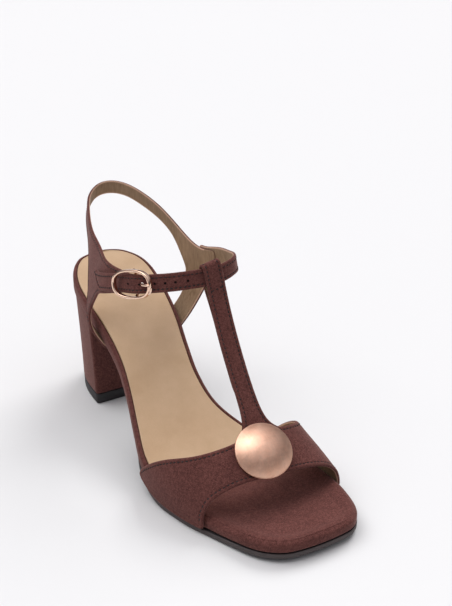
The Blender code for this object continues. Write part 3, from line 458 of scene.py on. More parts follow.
def heel_level(share):
    """Heel plan at a share of the way from the ground to the seat."""
    loop = heel_plan(HEEL_INSET)
    breast = y_of(BREAST_AT)
    middle = (edge_x(-1, breast) + edge_x(1, breast)) / 2
    flare = share**1.5
    x = middle + (loop[:, 0] - middle) * (HEEL_TAPER + (1 - HEEL_TAPER) * flare)
    y = breast + (loop[:, 1] - breast) * (HEEL_TAPER_BACK + (1 - HEEL_TAPER_BACK) * flare)
    return np.stack([x, y], axis=1)


def grid_faces(grid, skip=()):
    """Quads of a grid of point numbers, rows by columns."""
    faces = []
    for r in range(len(grid) - 1):
        for c in range(len(grid[0]) - 1):
            if (r, c) not in skip:
                faces.append((grid[r][c], grid[r][c + 1], grid[r + 1][c + 1], grid[r + 1][c]))
    return faces


# Vamp and T strap
back_at = smooth(VAMP["around"], VAMP["back"])
front_at = smooth(VAMP["around"], VAMP["front"])


def foot_form(around, at, out=0.0):
    """Middle surface of the vamp at an angle around the foot and a share of the length."""
    y = y_of(at)
    angle = math.radians(around)
    side = -1 if around < 90 else 1
    reach = edge_x(side, y) + side * (SIDE_GAP + LEATHER / 2 + out)
    ridge = ridge_at(at) * BALL_WIDTH
    low = footbed_under(at) + 0.1
    high = footbed_top(at) + height_at(at) * INSTEP_HEIGHT - LEATHER / 2 + out
    c = abs(math.cos(angle)) ** (2 / SECTION_POWER)
    s = abs(math.sin(angle)) ** (2 / SECTION_POWER)
    return np.array([ridge + (reach - ridge) * c, y, low + (high - low) * s])


# Ring of the ankle opening
RING_TABLE = np.column_stack([
    RING["side"] * BALL_WIDTH,
    y_of(RING["at"]),
    SEAT + RING["mid"] * COLLAR_HEIGHT,
    RING["lean"],
    SEAT + RING["top"] * COLLAR_HEIGHT,
    SEAT + RING["bottom"] * COLLAR_HEIGHT,
])
strap_out = smooth(STRAP_LAYER["along"], STRAP_LAYER["out"] * STRAP_STEP)
tab_out = smooth(TAB_LAYER["along"], TAB_LAYER["out"] * STRAP_STEP)


def ring_row(station):
    n = len(RING_TABLE)
    i = int(math.floor(station))
    t = station - i
    return spline_point(*(RING_TABLE[(i + k) % n] for k in (-1, 0, 1, 2)), t)


def ring_frame(station):
    """Middle point of the ring with its run, outward and upward directions."""
    row = ring_row(station)
    ahead = ring_row(station + 0.02)
    behind = ring_row(station - 0.02)
    run = unit([ahead[0] - behind[0], ahead[1] - behind[1], 0.0])
    level = np.array([-run[1], run[0], 0.0])
    tilt = math.atan(row[3])
    out = level * math.cos(tilt) + np.array([0, 0, math.sin(tilt)])
    up = np.array([0, 0, math.cos(tilt)]) - level * math.sin(tilt)
    slope = (ahead[2] - behind[2]) / max(np.hypot(ahead[0] - behind[0], ahead[1] - behind[1]), 1e-9)
    along = unit(run + up * slope)
    up = unit(np.cross(out, along))
    if up[2] < 0:
        up = -up
    return row[:3].copy(), along, out, up


def ring_band(station, share, out):
    """Point of the quarter band: share 0 at its lower edge, 1 at its upper edge."""
    row = ring_row(station)
    outward = ring_frame(station)[2]
    z = row[5] + (row[4] - row[5]) * share
    tilt = math.atan(row[3])
    level = unit(np.array([outward[0], outward[1], 0.0]))
    flat = np.array([row[0], row[1], z]) + level * math.tan(tilt) * (row[2] - z)
    return flat + outward * out


def strap_point(station, across, out):
    """Point of the ankle strap: across runs from -0.5 at its lower edge to 0.5 at its upper edge."""
    middle, _, outward, up = ring_frame(station)
    return middle + up * across * STRAP_WIDTH + outward * out


def add_rows(points, rows):
    numbers = []
    for row in rows:
        numbers.append(list(range(len(points), len(points) + len(row))))
        points.extend(row)
    return numbers


def tongue_rows(root):
    """Rows of the T strap from the vamp up its front, round the ankle strap and down its back."""
    count = len(root)
    spread = [c / (count - 1) - 0.5 for c in range(count)]
    middle, along, outward, up = ring_frame(TONGUE_RING)
    side = along if along[0] > 0 else -along
    turn_by = math.radians(LOOP_TURN)
    c, s = math.cos(turn_by), math.sin(turn_by)
    up, side = up * c - side * s, side * c + up * s
    layer = STRAP_LEATHER / 2 + GAP + TONGUE_LEATHER / 2
    foot = middle + outward * layer - up * (STRAP_WIDTH / 2 + 1.0)
    head = middle + outward * layer + up * (STRAP_WIDTH / 2 + 0.4)
    start = (root[0] + root[-1]) / 2
    crown = root[count // 2]
    start = np.array([start[0], crown[1], crown[2]])
    root_side = unit(root[-1] - root[0])
    root_width = float(np.linalg.norm(root[-1] - root[0]))
    sag = [root[c] - (start + root_side * spread[c] * root_width) for c in range(count)]
    spine = []
    for run, climb, width in zip(*TONGUE.values()):
        across = unit(root_side * (1 - climb) + side * climb)
        centre = start + (foot - start) * np.array([climb, run, climb])
        fade = max(0.0, 1 - run / 0.3) ** 1.5
        spine.append((centre, across, width * STRAP_WIDTH, fade))
    width = TONGUE["width"][-1] * STRAP_WIDTH
    loop = [head, (foot + head) / 2, foot]
    spine += [(p, side, width, 0.0) for p in loop[::-1]]
    front = []
    for centre, across, wide, fade in spine:
        front.append([centre + across * spread[c] * wide + sag[c] * fade for c in range(count)])
    radius = layer + LOOP_ROOM / 2
    turn = []
    for k in range(1, 6):
        angle = math.pi * k / 6
        centre = head + up * radius * math.sin(angle) - outward * radius * (1 - math.cos(angle))
        turn.append([centre + side * spread[c] * width for c in range(count)])
    back = [[p - outward * 2 * radius + side * spread[c] * width for c in range(count)] for p in loop]
    doubled = TONGUE_LEATHER + GAP
    ends = [start] + [s[0] for s in spine[:-3]] + [foot, head]
    last = len(TONGUE["run"]) - 1
    for k in range(last, 2, -1):
        centre, across, wide, _ = spine[k]
        run = unit(ends[k + 2] - ends[k])
        inward = unit(np.cross(run, across))
        if inward[1] < 0:
            inward = -inward
        gap = doubled if k < last else (doubled + 2 * radius) / 2
        back.append([
            centre + inward * gap + across * spread[c] * wide * TONGUE_BACK_WIDTH for c in range(count)
        ])
    return front, turn + back


def stations(start, stop, step):
    count = max(int(round((stop - start) / step)), 1)
    return [start + (stop - start) * k / count for k in range(count + 1)]


def leg_rows(top, shifts, foot, side):
    """Rows from the lower edge of the ring down and under the footbed."""
    count = len(top)
    shares = [c / (count - 1) for c in range(count)]
    if side < 0:
        feet = [foot[1] + (foot[0] - foot[1]) * s for s in shares]
    else:
        feet = [foot[0] + (foot[1] - foot[0]) * s for s in shares]
    ends = []
    for at in feet:
        y = y_of(at)
        x = edge_x(side, y) + side * (GAP + QUARTER_LEATHER / 2)
        ends.append(np.array([x, y, footbed_under(at) + 1.0]))
    rows = []
    for down, out, back, front in zip(*shifts.values()):
        row = []
        for c in range(count):
            s = shares[c] if side > 0 else 1 - shares[c]
            shift = (back * (1 - s) + front * s) * LENGTH
            p = top[c] * (1 - down) + ends[c] * down
            row.append(p + np.array([side * out * BALL_WIDTH, shift, 0.0]))
        rows.append(row)
    rows.append([p + np.array([side * 0.1, 0, 0]) for p in ends])
    half = QUARTER_LEATHER / 2
    low = [p + np.array([-side * (half + 0.5), 0, -1.0 - GAP - half - 0.1]) for p in ends]
    rows.append(low)
    rows.append([p + np.array([-side * (LEG_TUCK - 1.0), 0, 0]) for p in low])
    return rows


def buckle_frame_axes():
    """Centre of the buckle's bar, with the directions of the strap there."""
    middle, _, outward, up = ring_frame(0.0)
    near = ring_frame(29.2)[0]
    far = ring_frame(0.8)[0]
    run = unit(far - near)
    up = unit(up - run * float(up @ run))
    out = unit(np.cross(run, up))
    if out @ outward < 0:
        out = -out
    drop = tab_out(0.0) - TAB_LEATHER / 2 - 0.2 - BAR_DIAMETER / 2
    return {"centre": middle + outward * drop, "run": run, "out": out, "up": up}


# Prong from under the bar, up through its hole in the strap and onto the frame, from the bar's axis. run:
# along the strap, share of FRAME_LENGTH. out: away from the ankle, share of FRAME_DEPTH.
PRONG = (
    (0.050, -0.50),
    (0.000, -0.70),
    (-0.056, -0.52),
    (-0.098, -0.18),
    (-0.142, 0.03),
    (-0.193, 0.37),
    (-0.236, 0.83),
    (-0.284, 1.36),
    (-0.346, 1.70),
    (-0.433, 1.82),
    (-0.540, 1.78),
)
PRONG_HOLE = (-0.215, 0.66)


def prong_point(axes, row):
    run, out = row
    return axes["centre"] + axes["run"] * run * FRAME_LENGTH + axes["out"] * out * FRAME_DEPTH


def button_seat(normal, seat, under):
    """Height of the button over its seat along its normal, just clear of the vamp and the T strap's root."""
    count = VAMP_STEPS.index(ROOT_TO) - VAMP_STEPS.index(ROOT_FROM) + 1
    around = np.linspace(ROOT_FROM, ROOT_TO, count)
    front, _ = tongue_rows([foot_form(a, back_at(a)) for a in around])
    skin = [np.array(row) for row in front[:4]]
    for share in (0.0, 0.25, 0.5, 0.75, 1.0):
        row = []
        for around in range(54, 124, 3):
            at = back_at(around) + (front_at(around) - back_at(around)) * share
            row.append(foot_form(around, at))
        skin.append(np.array(row))
    reach = []
    for row in skin:
        offset = row - seat
        height = offset @ normal + LEATHER / 2
        radius = np.linalg.norm(offset - np.outer(offset @ normal, normal), axis=1)
        reach += [h - under(r) for h, r in zip(height, radius) if r < BUTTON_DIAMETER / 2]
    return max(reach) + GAP


# The looks

CAMERA_AT = (-257.6, -471.3, 343.2)
CAMERA_TO = (34.7, 21.5, 69.6)
LENS = 68.14
SENSOR = 36.0

# Soft lights: strength, spread, azimuth and elevation in degrees, and whether the metal mirrors it
LIGHTS = {
    "key": (0.66, 46.0, -122.0, 58.0, True),
    "above": (0.68, 66.0, -146.0, 66.0, True),
    "back": (1.46, 32.0, 118.0, 45.0, False),
}
# Light of the room from the horizon up to the zenith
SKY = (
    (0.0, (0.034, 0.032, 0.036)),
    (0.25, (0.14, 0.136, 0.148)),
    (0.55, (0.58, 0.567, 0.60)),
    (1.0, (1.10, 1.08, 1.12)),
)
SKY_STRENGTH = 0.8
BACKGROUND = (0.93, 0.93, 0.94, 1.0)
FLOOR_REACH = 12.0

# Rolled edge of the leather: its points round the edge in degrees, the strip where the lining starts, and how
# far the faces draw in, in half thicknesses
EDGE_ARC = (60, 30, 0, -30, -60)
LINING_FROM = 4
EDGE_REACH = 3
# Distance in mm under which a point is on the edge, and the fewest points in a row of stitches
TOUCHING = 1e-4
SHORTEST_ROW = 5

# Seam along the edges, in mm, with the groove that its stitches pull and the plump rim beside it. On the legs
# and on the vamp it ends over the footbed's underside.
SEAM = 1.75
VAMP_SEAM_END, LEG_SEAM_END = 4.5, 5.0
GROOVE_DEPTH, GROOVE_WIDTH = 0.28, 0.5
PLUMP_AT, PLUMP_HEIGHT, PLUMP_WIDTH = 0.85 * SEAM - 1.0, 0.08, 0.6

# Stitches: the sections have a share of the length, a share of the radius and a height over the leather
STITCH_LENGTH = 1.4
STITCH_GAP = 0.85
STITCH_RADIUS = 0.33
STITCH_WIDTH = 1.15
STITCH_SIDES = 6
STITCH = ((0.0, 0.35, -0.12), (0.12, 0.85, 0.02), (0.5, 1.0, 0.1), (0.88, 0.85, 0.02), (1.0, 0.35, -0.12))

# Holes of the ankle strap: ring stations, radius, depth under its middle and the cutter's reach over it
HOLES = (26.54, 27.29, 27.95, 28.62, 29.58, 30.25)
HOLE_RADIUS = 0.66
HOLE_DEPTH, HOLE_REACH = 0.45, 2.4
PRONG_HOLE_RADIUS, PRONG_HOLE_REACH, PRONG_HOLE_LEAN = 1.0, 2.6, 1.25

# Folds of the vamp: middle, direction, reach along and across, and height
VAMP_FOLDS = (
    ((-30.0, -62.0, 22.0), (0.6, -1.0, 0.4), 14.0, 5.0, 0.25),
    ((30.0, -66.0, 26.0), (-0.3, -1.0, 0.2), 12.0, 4.0, -0.25),
)
# Seam across the T strap's loop: reach, half width and depth of its groove, and the span of its stitches
LOOP_SEAM = (5.5, 0.55, -0.35)
LOOP_STITCHES = (0.14, 0.86)
# Soft creases of the sock: share of LENGTH, share of the half width, slant, half width and depth
SOCK_CREASES = (
    (0.360, 0.15, 0.30, 5.0, 0.10),
    (0.455, -0.20, -0.18, 6.5, 0.16),
    (0.520, 0.25, 0.22, 4.5, 0.12),
    (0.610, -0.10, 0.10, 6.0, 0.12),
)

# Padded edge of the toe: shares of LENGTH where it starts and is full, height, and its line from the edge
PAD = (0.74, 0.82)
PAD_HEIGHT, PAD_AT, PAD_WIDTH = 0.55, 4.5, 2.6

# Rounded edges: inset and height. The footbed's start at its underside, at its top at the heel and waist, and
# at its top at the toe.
BED_SIDE = ((1.6, 0.0), (0.9, 0.1), (0.45, 0.4), (0.12, 0.85), (0.0, 1.4), (0.0, 2.4))
BED_RIM = ((0.0, -1.7), (0.12, -1.1), (0.4, -0.6), (0.8, -0.25), (1.3, -0.06), (1.85, -0.02))
BED_TOE = ((0.0, -2.2), (0.15, -1.65), (0.5, -1.15), (1.0, -0.72), (1.6, -0.35), (2.1, -0.1))
SOLE_LOW = ((0.8, 0.0), (0.35, 0.1), (0.1, 0.35), (0.0, 0.8))
SOLE_HIGH = ((0.0, -0.4), (0.12, -0.12), (0.4, 0.0))
TIP_EDGE = (
    (1.0, 0.0), (0.45, 0.2), (0.2, 0.7), (0.1, 1.2),
    (0.1, TOP_PIECE_HEIGHT - 0.5), (0.2, TOP_PIECE_HEIGHT - 0.15), (0.4, TOP_PIECE_HEIGHT),
)
# The sock's edge: inset and share of its thickness
SOCK_EDGE = ((0.0, 0.0), (0.0, 0.55), (0.1, 0.8), (0.3, 0.95), (0.6, 1.0))
# The heel's side: share of the way up and inset
HEEL_SIDE = (
    (0.0, 0.5), (0.012, 0.15), (0.03, 0.0), (0.12, 0.0), (0.24, 0.0), (0.36, 0.0), (0.48, 0.0), (0.6, 0.0),
    (0.72, 0.0), (0.84, 0.0), (0.92, 0.0), (0.97, 0.05), (1.0, 0.3),
)

# Columns of points across the ends of the footbed and the sock, the outsole and the heel
BED_COLUMNS, SOLE_COLUMNS, HEEL_COLUMNS = 30, 26, 12

# Tread: depth, pitch and slant of its grooves, and its field in shares of LENGTH and of the half width
TREAD_DEPTH, TREAD_PITCH, TREAD_SLANT = 0.4, 4.2, 0.12
TREAD_FROM, TREAD_TO, TREAD_SIDE = (0.60, 0.63), (0.93, 0.95), (0.78, 0.84)

# Bar of the buckle's frame, from its ends: inward run and lift
BAR_BEND = ((0.0, 1.6), (0.5, 0.85), (1.0, 0.3), (1.6, 0.0))
# Underside of the button: share of its radius and height
BUTTON_UNDER = ((0.55, 0.0), (0.86, 0.9), (0.975, 1.3))


def frame_shift():
    """From the tables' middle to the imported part's, both over the ground."""
    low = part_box("footbed")[0]
    edge = plan_outline(2)[0][:, 0].min()
    return np.array([low[0] / MM - edge, low[1] / MM + LENGTH / 2, 0.0])


SHIFT = frame_shift()


# Meshes

def new_object(name, data):
    item = bpy.data.objects.new(name, data)
    bpy.context.scene.collection.objects.link(item)
    return item


def new_mesh(name, points, faces):
    """Mesh from points in the tables' millimetres, with its faces pointing out."""
    mesh = bpy.data.meshes.new(name)
    placed = (np.asarray(points, float) + SHIFT) * MM
    mesh.from_pydata(placed.tolist(), [], [tuple(int(i) for i in f) for f in faces])
    work = bmesh.new()
    work.from_mesh(mesh)
    bmesh.ops.recalc_face_normals(work, faces=work.faces)
    work.to_mesh(mesh)
    work.free()
    return mesh


def new_piece(name, points, faces, looks, nodes=(), face_looks=None, sharp=45):
    mesh = new_mesh(name, points, faces)
    for look in looks:
        mesh.materials.append(look)
    if face_looks is not None:
        mesh.polygons.foreach_set("material_index", np.asarray(face_looks, dtype=np.int32))
    mesh.shade_smooth()
    mesh.set_sharp_from_angle(angle=math.radians(sharp))
    item = new_object(name, mesh)
    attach(item, "root")
    if nodes:
        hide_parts(*nodes)
    return item


def add_ring(points, centre, u, v, radius, sides):
    """Adds a ring of points and gives their numbers."""
    start = len(points)
    for k in range(sides):
        angle = 2 * math.pi * k / sides
        points.append(centre + radius * (u * math.cos(angle) + v * math.sin(angle)))
    return list(range(start, start + sides))


def ring_faces(rings):
    """Quads between neighbouring rings of point numbers."""
    faces = []
    for low, high in zip(rings, rings[1:]):
        for k in range(len(low)):
            j = (k + 1) % len(low)
            faces.append((low[k], low[j], high[j], high[k]))
    return faces


def tube_faces(rings):
    return [*ring_faces(rings), tuple(rings[0][::-1]), tuple(rings[-1])]


def add_bar(points, faces, path, radii, guide, sides):
    """Adds a round bar along a path to a mesh in the making."""
    rings = []
    for k, p in enumerate(path):
        run = unit(path[min(k + 1, len(path) - 1)] - path[max(k - 1, 0)])
        u = unit(np.cross(run, guide))
        rings.append(add_ring(points, p, u, np.cross(run, u), radii[k], sides))
    faces += tube_faces(rings)


def near_tree(points):
    tree = KDTree(len(points))
    for i, point in enumerate(points):
        tree.insert(point, i)
    tree.balance()
    return tree


def ease(value, start, end):
    t = min(max((value - start) / (end - start), 0.0), 1.0)
    return t * t * (3 - 2 * t)


def signed_power(value, power):
    return math.copysign(abs(value) ** power, value)


# Materials

def put(tree, node, values):
    """Sets or links the inputs of a node."""
    for name, value in values.items():
        if isinstance(value, bpy.types.NodeSocket):
            tree.links.new(value, node.inputs[name])
        else:
            node.inputs[name].default_value = value


def add(tree, kind, values=None, **settings):
    node = tree.nodes.new("ShaderNode" + kind)
    for name, value in settings.items():
        setattr(node, name, value)
    put(tree, node, values or {})
    return node


def new_look(name):
    look = bpy.data.materials.new(name)
    look.use_nodes = True
    return look, look.node_tree, look.node_tree.nodes["Principled BSDF"]


def noise(tree, size, detail=2.0, stretch=(1.0, 1.0, 1.0), distortion=0.0):
    """Noise with features of a size in millimetres."""
    place = add(tree, "TexCoord").outputs["Object"]
    scaled = add(tree, "Mapping", {"Vector": place, "Scale": stretch}).outputs["Vector"]
    values = {"Vector": scaled, "Scale": 1000.0 / size, "Detail": detail, "Distortion": distortion}
    return add(tree, "TexNoise", values).outputs["Fac"]


def ramp(tree, value, stops):
    made = add(tree, "ValToRGB", {"Fac": value})
    line = made.color_ramp
    while len(line.elements) < len(stops):
        line.elements.new(0.5)
    for element, (place, colour) in zip(line.elements, stops):
        element.position = place
        element.color = (*colour, 1.0)
    return made.outputs["Color"]


def grey(*pairs):
    return [(place, (v, v, v)) for place, v in pairs]


def two(dark, light, low=0.3, high=0.7):
    return [(low, dark), (high, light)]


def blend(tree, share, first, second, kind="MIX"):
    values = {0: share, 6: first, 7: second}
    return add(tree, "Mix", values, data_type="RGBA", blend_type=kind).outputs[2]


def bumps(tree, *layers):
    """Bump layers: a height, its strength and its depth in millimetres."""
    normal = {}
    for height, strength, depth in layers:
        values = {"Height": height, "Strength": strength, "Distance": depth * MM}
        normal = {"Normal": add(tree, "Bump", {**values, **normal}).outputs["Normal"]}
    return normal["Normal"]


def suede_look(name, dark, middle, light):
    look, tree, shader = new_look(name)

    def tones(value, *places):
        return ramp(tree, value, list(zip(places, (dark, middle, light))))

    cloud = noise(tree, 13.0, 3.0, distortion=0.6)
    brushed = noise(tree, 3.2, 3.0, (1.0, 0.55, 1.0), 0.8)
    speck = noise(tree, 1.15, 4.0, distortion=0.4)
    nap = noise(tree, 0.42)
    fibre = noise(tree, 0.17)
    base = tones(cloud, 0.28, 0.5, 0.74)
    base = blend(tree, 0.35, base, tones(brushed, 0.3, 0.52, 0.72))
    base = blend(tree, 0.55, base, tones(speck, 0.4, 0.5, 0.62))
    base = blend(tree, 0.48, base, tones(nap, 0.36, 0.5, 0.64))
    fibres = ramp(tree, fibre, grey((0.3, 0.6), (0.5, 1.0), (0.7, 1.45)))
    put(tree, shader, {
        "Base Color": blend(tree, 0.75, base, fibres, "MULTIPLY"),
        "Roughness": ramp(tree, nap, grey((0.3, 0.86), (0.7, 0.98))),
        "Specular IOR Level": 0.18,
        "Sheen Weight": 0.25,
        "Sheen Roughness": 0.42,
        "Sheen Tint": (0.98, 0.66, 0.60, 1.0),
        "Normal": bumps(tree, (cloud, 0.25, 0.5), (speck, 0.5, 0.2), (nap, 0.55, 0.14), (fibre, 0.6, 0.07)),
    })
    return look


def lining_look(name, dark, light):
    look, tree, shader = new_look(name)
    streak = noise(tree, 1.1, 3.0, (1.0, 1.0, 0.16), 0.3)
    cloud = noise(tree, 9.0)
    grain = noise(tree, 0.3)
    base = ramp(tree, streak, two(dark, light))
    base = blend(tree, 0.4, base, ramp(tree, cloud, two(dark, light)))
    put(tree, shader, {
        "Base Color": blend(tree, 0.4, base, ramp(tree, grain, grey((0.3, 0.8), (0.7, 1.15))), "MULTIPLY"),
        "Roughness": 0.62,
        "Specular IOR Level": 0.3,
        "Normal": bumps(tree, (streak, 0.3, 0.12), (grain, 0.4, 0.06)),
    })
    return look


def sock_look(name, dark, light):
    look, tree, shader = new_look(name)
    cloud = noise(tree, 34.0, distortion=0.3)
    mottle = noise(tree, 5.0, 3.0)
    pores = noise(tree, 0.5)
    place = add(tree, "TexCoord").outputs["Object"]
    cells = add(tree, "TexVoronoi", {"Vector": place, "Scale": 1000.0 / 0.75}).outputs["Distance"]
    base = ramp(tree, cloud, two(dark, light))
    base = blend(tree, 0.25, base, ramp(tree, mottle, two(dark, light)))
    put(tree, shader, {
        "Base Color": blend(tree, 0.3, base, ramp(tree, pores, grey((0.3, 0.86), (0.7, 1.08))), "MULTIPLY"),
        "Roughness": ramp(tree, mottle, grey((0.3, 0.4), (0.7, 0.52))),
        "Specular IOR Level": 0.45,
        "Coat Weight": 0.1,
        "Coat Roughness": 0.4,
        "Normal": bumps(tree, (mottle, 0.2, 0.2), (cells, 0.25, 0.05), (pores, 0.25, 0.04)),
    })
    return look


def fibre_look(name, dark, light, roughness, grain, bump):
    look, tree, shader = new_look(name)
    fibre = noise(tree, *grain)
    put(tree, shader, {
        "Base Color": ramp(tree, fibre, two(dark, light)),
        "Roughness": roughness,
        "Normal": bumps(tree, (fibre, *bump)),
    })
    return look


def rubber_look(name, dark, light):
    look, tree, shader = new_look(name)
    grain = noise(tree, 0.5, 3.0)
    scuff = noise(tree, 7.0, 4.0, (0.4, 1.0, 1.0), 1.2)
    put(tree, shader, {
        "Base Color": ramp(tree, scuff, two(dark, light, 0.35, 0.75)),
        "Roughness": ramp(tree, scuff, grey((0.3, 0.5), (0.75, 0.7))),
        "Normal": bumps(tree, (grain, 0.35, 0.06), (scuff, 0.15, 0.1)),
    })
    return look


def metal_look(name, colour, shade, roughness, brushed):
    look, tree, shader = new_look(name)
    fine = noise(tree, 0.8, 2.0, (1.0, 0.2, 0.5))
    cross = noise(tree, 0.8, 2.0, (0.2, 1.0, 0.6))
    cloud = noise(tree, 4.0, 3.0, distortion=0.5)
    base = ramp(tree, cloud, two(shade, colour, 0.3, 0.65))
    if brushed:
        base = blend(tree, 0.4, base, ramp(tree, fine, grey((0.3, 0.86), (0.7, 1.06))), "MULTIPLY")
        base = blend(tree, 0.4, base, ramp(tree, cross, grey((0.3, 0.88), (0.7, 1.05))), "MULTIPLY")
    span = 0.04
    depth = 0.02 if brushed else 0.004
    put(tree, shader, {
        "Base Color": base,
        "Metallic": 1.0,
        "Roughness": ramp(tree, cross, grey((0.3, roughness - span), (0.7, roughness + span))),
        "Normal": bumps(tree, (fine, 0.2, depth), (cross, 0.2, depth)),
    })
    return look


def floor_look():
    look, tree, shader = new_look("floor")
    put(tree, shader, {
        "Base Color": ramp(tree, noise(tree, 900.0, 1.0), grey((0.2, 0.755), (0.8, 0.765))),
        "Roughness": 0.9,
        "Specular IOR Level": 0.0,
    })
    return look


EDGE_GRAIN = (0.7, (0.5, 3.0), (0.4, 0.08))
THREAD_GRAIN = (0.6, (0.3, 2.0, (1.0, 1.0, 0.5), 0.5), (0.5, 0.06))

SUEDE = suede_look("suede_nap", (0.052, 0.017, 0.015), (0.110, 0.038, 0.032), (0.200, 0.076, 0.064))
LINING = lining_look("lining_leather", (0.215, 0.137, 0.080), (0.390, 0.265, 0.165))
EDGE = fibre_look("lining_edge", (0.46, 0.28, 0.19), (0.66, 0.43, 0.31), *EDGE_GRAIN)
# Near-black walls of the strap's holes: painted shade inside the holes
HOLE_PAINTED_SHADE = fibre_look("hole_painted_shade", (0.022, 0.010, 0.010), (0.045, 0.020, 0.018), *EDGE_GRAIN)
SOCK = sock_look("sock_grain", (0.52, 0.342, 0.198), (0.63, 0.436, 0.272))
RUBBER = rubber_look("rubber_sole", (0.012, 0.010, 0.011), (0.035, 0.031, 0.034))
# Lighter copy of the rubber for the outsole's side faces: painted light falling on the side wall
SOLE_SIDE_PAINTED_LIGHT = rubber_look("rubber_side_painted_light", (0.050, 0.038, 0.037), (0.085, 0.067, 0.065))
METAL = metal_look("buckle_rose", (0.90, 0.65, 0.50), (0.78, 0.52, 0.39), 0.11, False)
FOIL = metal_look("button_foil_brushed", (0.92, 0.575, 0.42), (0.86, 0.50, 0.35), 0.4, True)
THREAD = fibre_look("thread", (0.008, 0.003, 0.003), (0.020, 0.008, 0.007), *THREAD_GRAIN)


# Leather sheets

def refine(points, faces, values):
    """Subdivided sheet: its points, its quads and one value a point."""
    mesh = bpy.data.meshes.new("sheet")
    mesh.from_pydata([tuple(map(float, p)) for p in points], [], [tuple(map(int, f)) for f in faces])
    layer = mesh.attributes.new("value", "FLOAT", "POINT")
    layer.data.foreach_set("value", np.asarray(values, dtype=np.float32))
    item = new_object("sheet", mesh)
    step = item.modifiers.new("soft", "SUBSURF")
    step.levels = FINE
    step.render_levels = FINE
    made = bpy.data.meshes.new_from_object(item.evaluated_get(bpy.context.evaluated_depsgraph_get()))
    found = np.empty(len(made.vertices) * 3)
    made.vertices.foreach_get("co", found)
    value = np.empty(len(made.vertices))
    made.attributes["value"].data.foreach_get("value", value)
    quads = np.array([tuple(p.vertices) for p in made.polygons])
    bpy.data.objects.remove(item, do_unlink=True)
    bpy.data.meshes.remove(mesh)
    bpy.data.meshes.remove(made)
    return found.reshape(-1, 3), quads, value


def sheet_normals(points, faces):
    a, b, c, d = (points[faces[:, k]] for k in range(4))
    flat = np.cross(c - a, d - b)
    normals = np.zeros_like(points)
    for k in range(4):
        np.add.at(normals, faces[:, k], flat)
    return normals / np.maximum(np.linalg.norm(normals, axis=1), 1e-12)[:, None]


def border_edges(faces):
    seen = {(int(face[k]), int(face[(k + 1) % 4])): True for face in faces for k in range(4)}
    return [(a, b) for a, b in seen if (b, a) not in seen]


def border_loops(edges):
    after = dict(edges)
    loops = []
    while after:
        start = next(iter(after))
        loop = [start]
        here = after.pop(start)
        while here != start and here in after:
            loop.append(here)
            here = after.pop(here)
        loops.append(loop)
    return loops


def fold_at(points, folds):
    """Height of the listed folds at each point."""
    height = np.zeros(len(points))
    for middle, run, reach, width, rise in folds:
        offset = points - np.array(middle)
        along = offset @ unit(run)
        off_line = np.linalg.norm(offset - np.outer(along, unit(run)), axis=1)
        height += rise * np.exp(-(along / reach) ** 2 - (off_line / width) ** 2)
    return height


def make_leather(name, points, faces, thickness, node, keep, rim_look, folds=()):
    """Leather with rolled edges and a lining. Gives its item, its outer surface and the rows for stitches."""
    points, faces, thick = refine(points, faces, thickness)
    points = points + sheet_normals(points, faces) * fold_at(points, folds)[:, None]
    normals = sheet_normals(points, faces)
    edges = border_edges(faces)
    rim = sorted({k for edge in edges for k in edge})
    inward = np.zeros_like(points)
    for a, b in edges:
        run = unit(points[b] - points[a])
        for k in (a, b):
            inward[k] += np.cross(normals[k], run)
    inward[rim] /= np.maximum(np.linalg.norm(inward[rim], axis=1), 1e-9)[:, None]
    tree = near_tree([*points[rim], *((points[a] + points[b]) / 2 for a, b in edges)])
    depth = np.zeros(len(points))
    for k, point in enumerate(points):
        near, _, depth[k] = tree.find(point)
        if depth[k] > TOUCHING:
            inward[k] = (point - np.array(near)) / depth[k]
    half = thick / 2
    slide = half * np.clip(1 - depth / (EDGE_REACH * half), 0, 1)
    middle = points + inward * slide[:, None]
    groove = GROOVE_DEPTH * np.exp(-((depth - SEAM) / GROOVE_WIDTH) ** 2)
    plump = PLUMP_HEIGHT * np.exp(-((depth - PLUMP_AT) / PLUMP_WIDTH) ** 2)
    outer = middle + normals * (half - groove + plump)[:, None]
    skin = [outer, middle - normals * half[:, None]]
    away = half[rim][:, None]
    for degrees in EDGE_ARC:
        angle = math.radians(degrees)
        skin.append(
            points[rim] + inward[rim] * away * (1 - math.cos(angle)) + normals[rim] * away * math.sin(angle)
        )
    count = len(points)
    solid = [tuple(face) for face in faces] + [tuple(int(k) + count for k in face[::-1]) for face in faces]
    face_looks = [0] * len(faces) + [1] * len(faces)
    order = {k: 2 * count + i for i, k in enumerate(rim)}

    def round_edge(k):
        return [k, *(order[k] + level * len(rim) for level in range(len(EDGE_ARC))), k + count]

    for a, b in edges:
        first, second = round_edge(a), round_edge(b)
        for level in range(len(first) - 1):
            solid.append((second[level], first[level], first[level + 1], second[level + 1]))
            face_looks.append(0 if level < LINING_FROM else rim_look(thick[a]))
    piece = new_piece(name, np.vstack(skin), solid, (SUEDE, LINING, EDGE), (node,), face_looks, 60)
    surface = BVHTree.FromPolygons([Vector(p) for p in outer], [tuple(int(k) for k in f) for f in faces])
    rows = []
    for loop in border_loops(edges):
        run = []
        for k in [*loop, loop[0], None]:
            if k is not None and keep(points[k], thick[k]):
                run.append(points[k] + inward[k] * SEAM)
                continue
            if len(run) >= SHORTEST_ROW:
                rows.append(run)
            run = []
    return piece, surface, rows


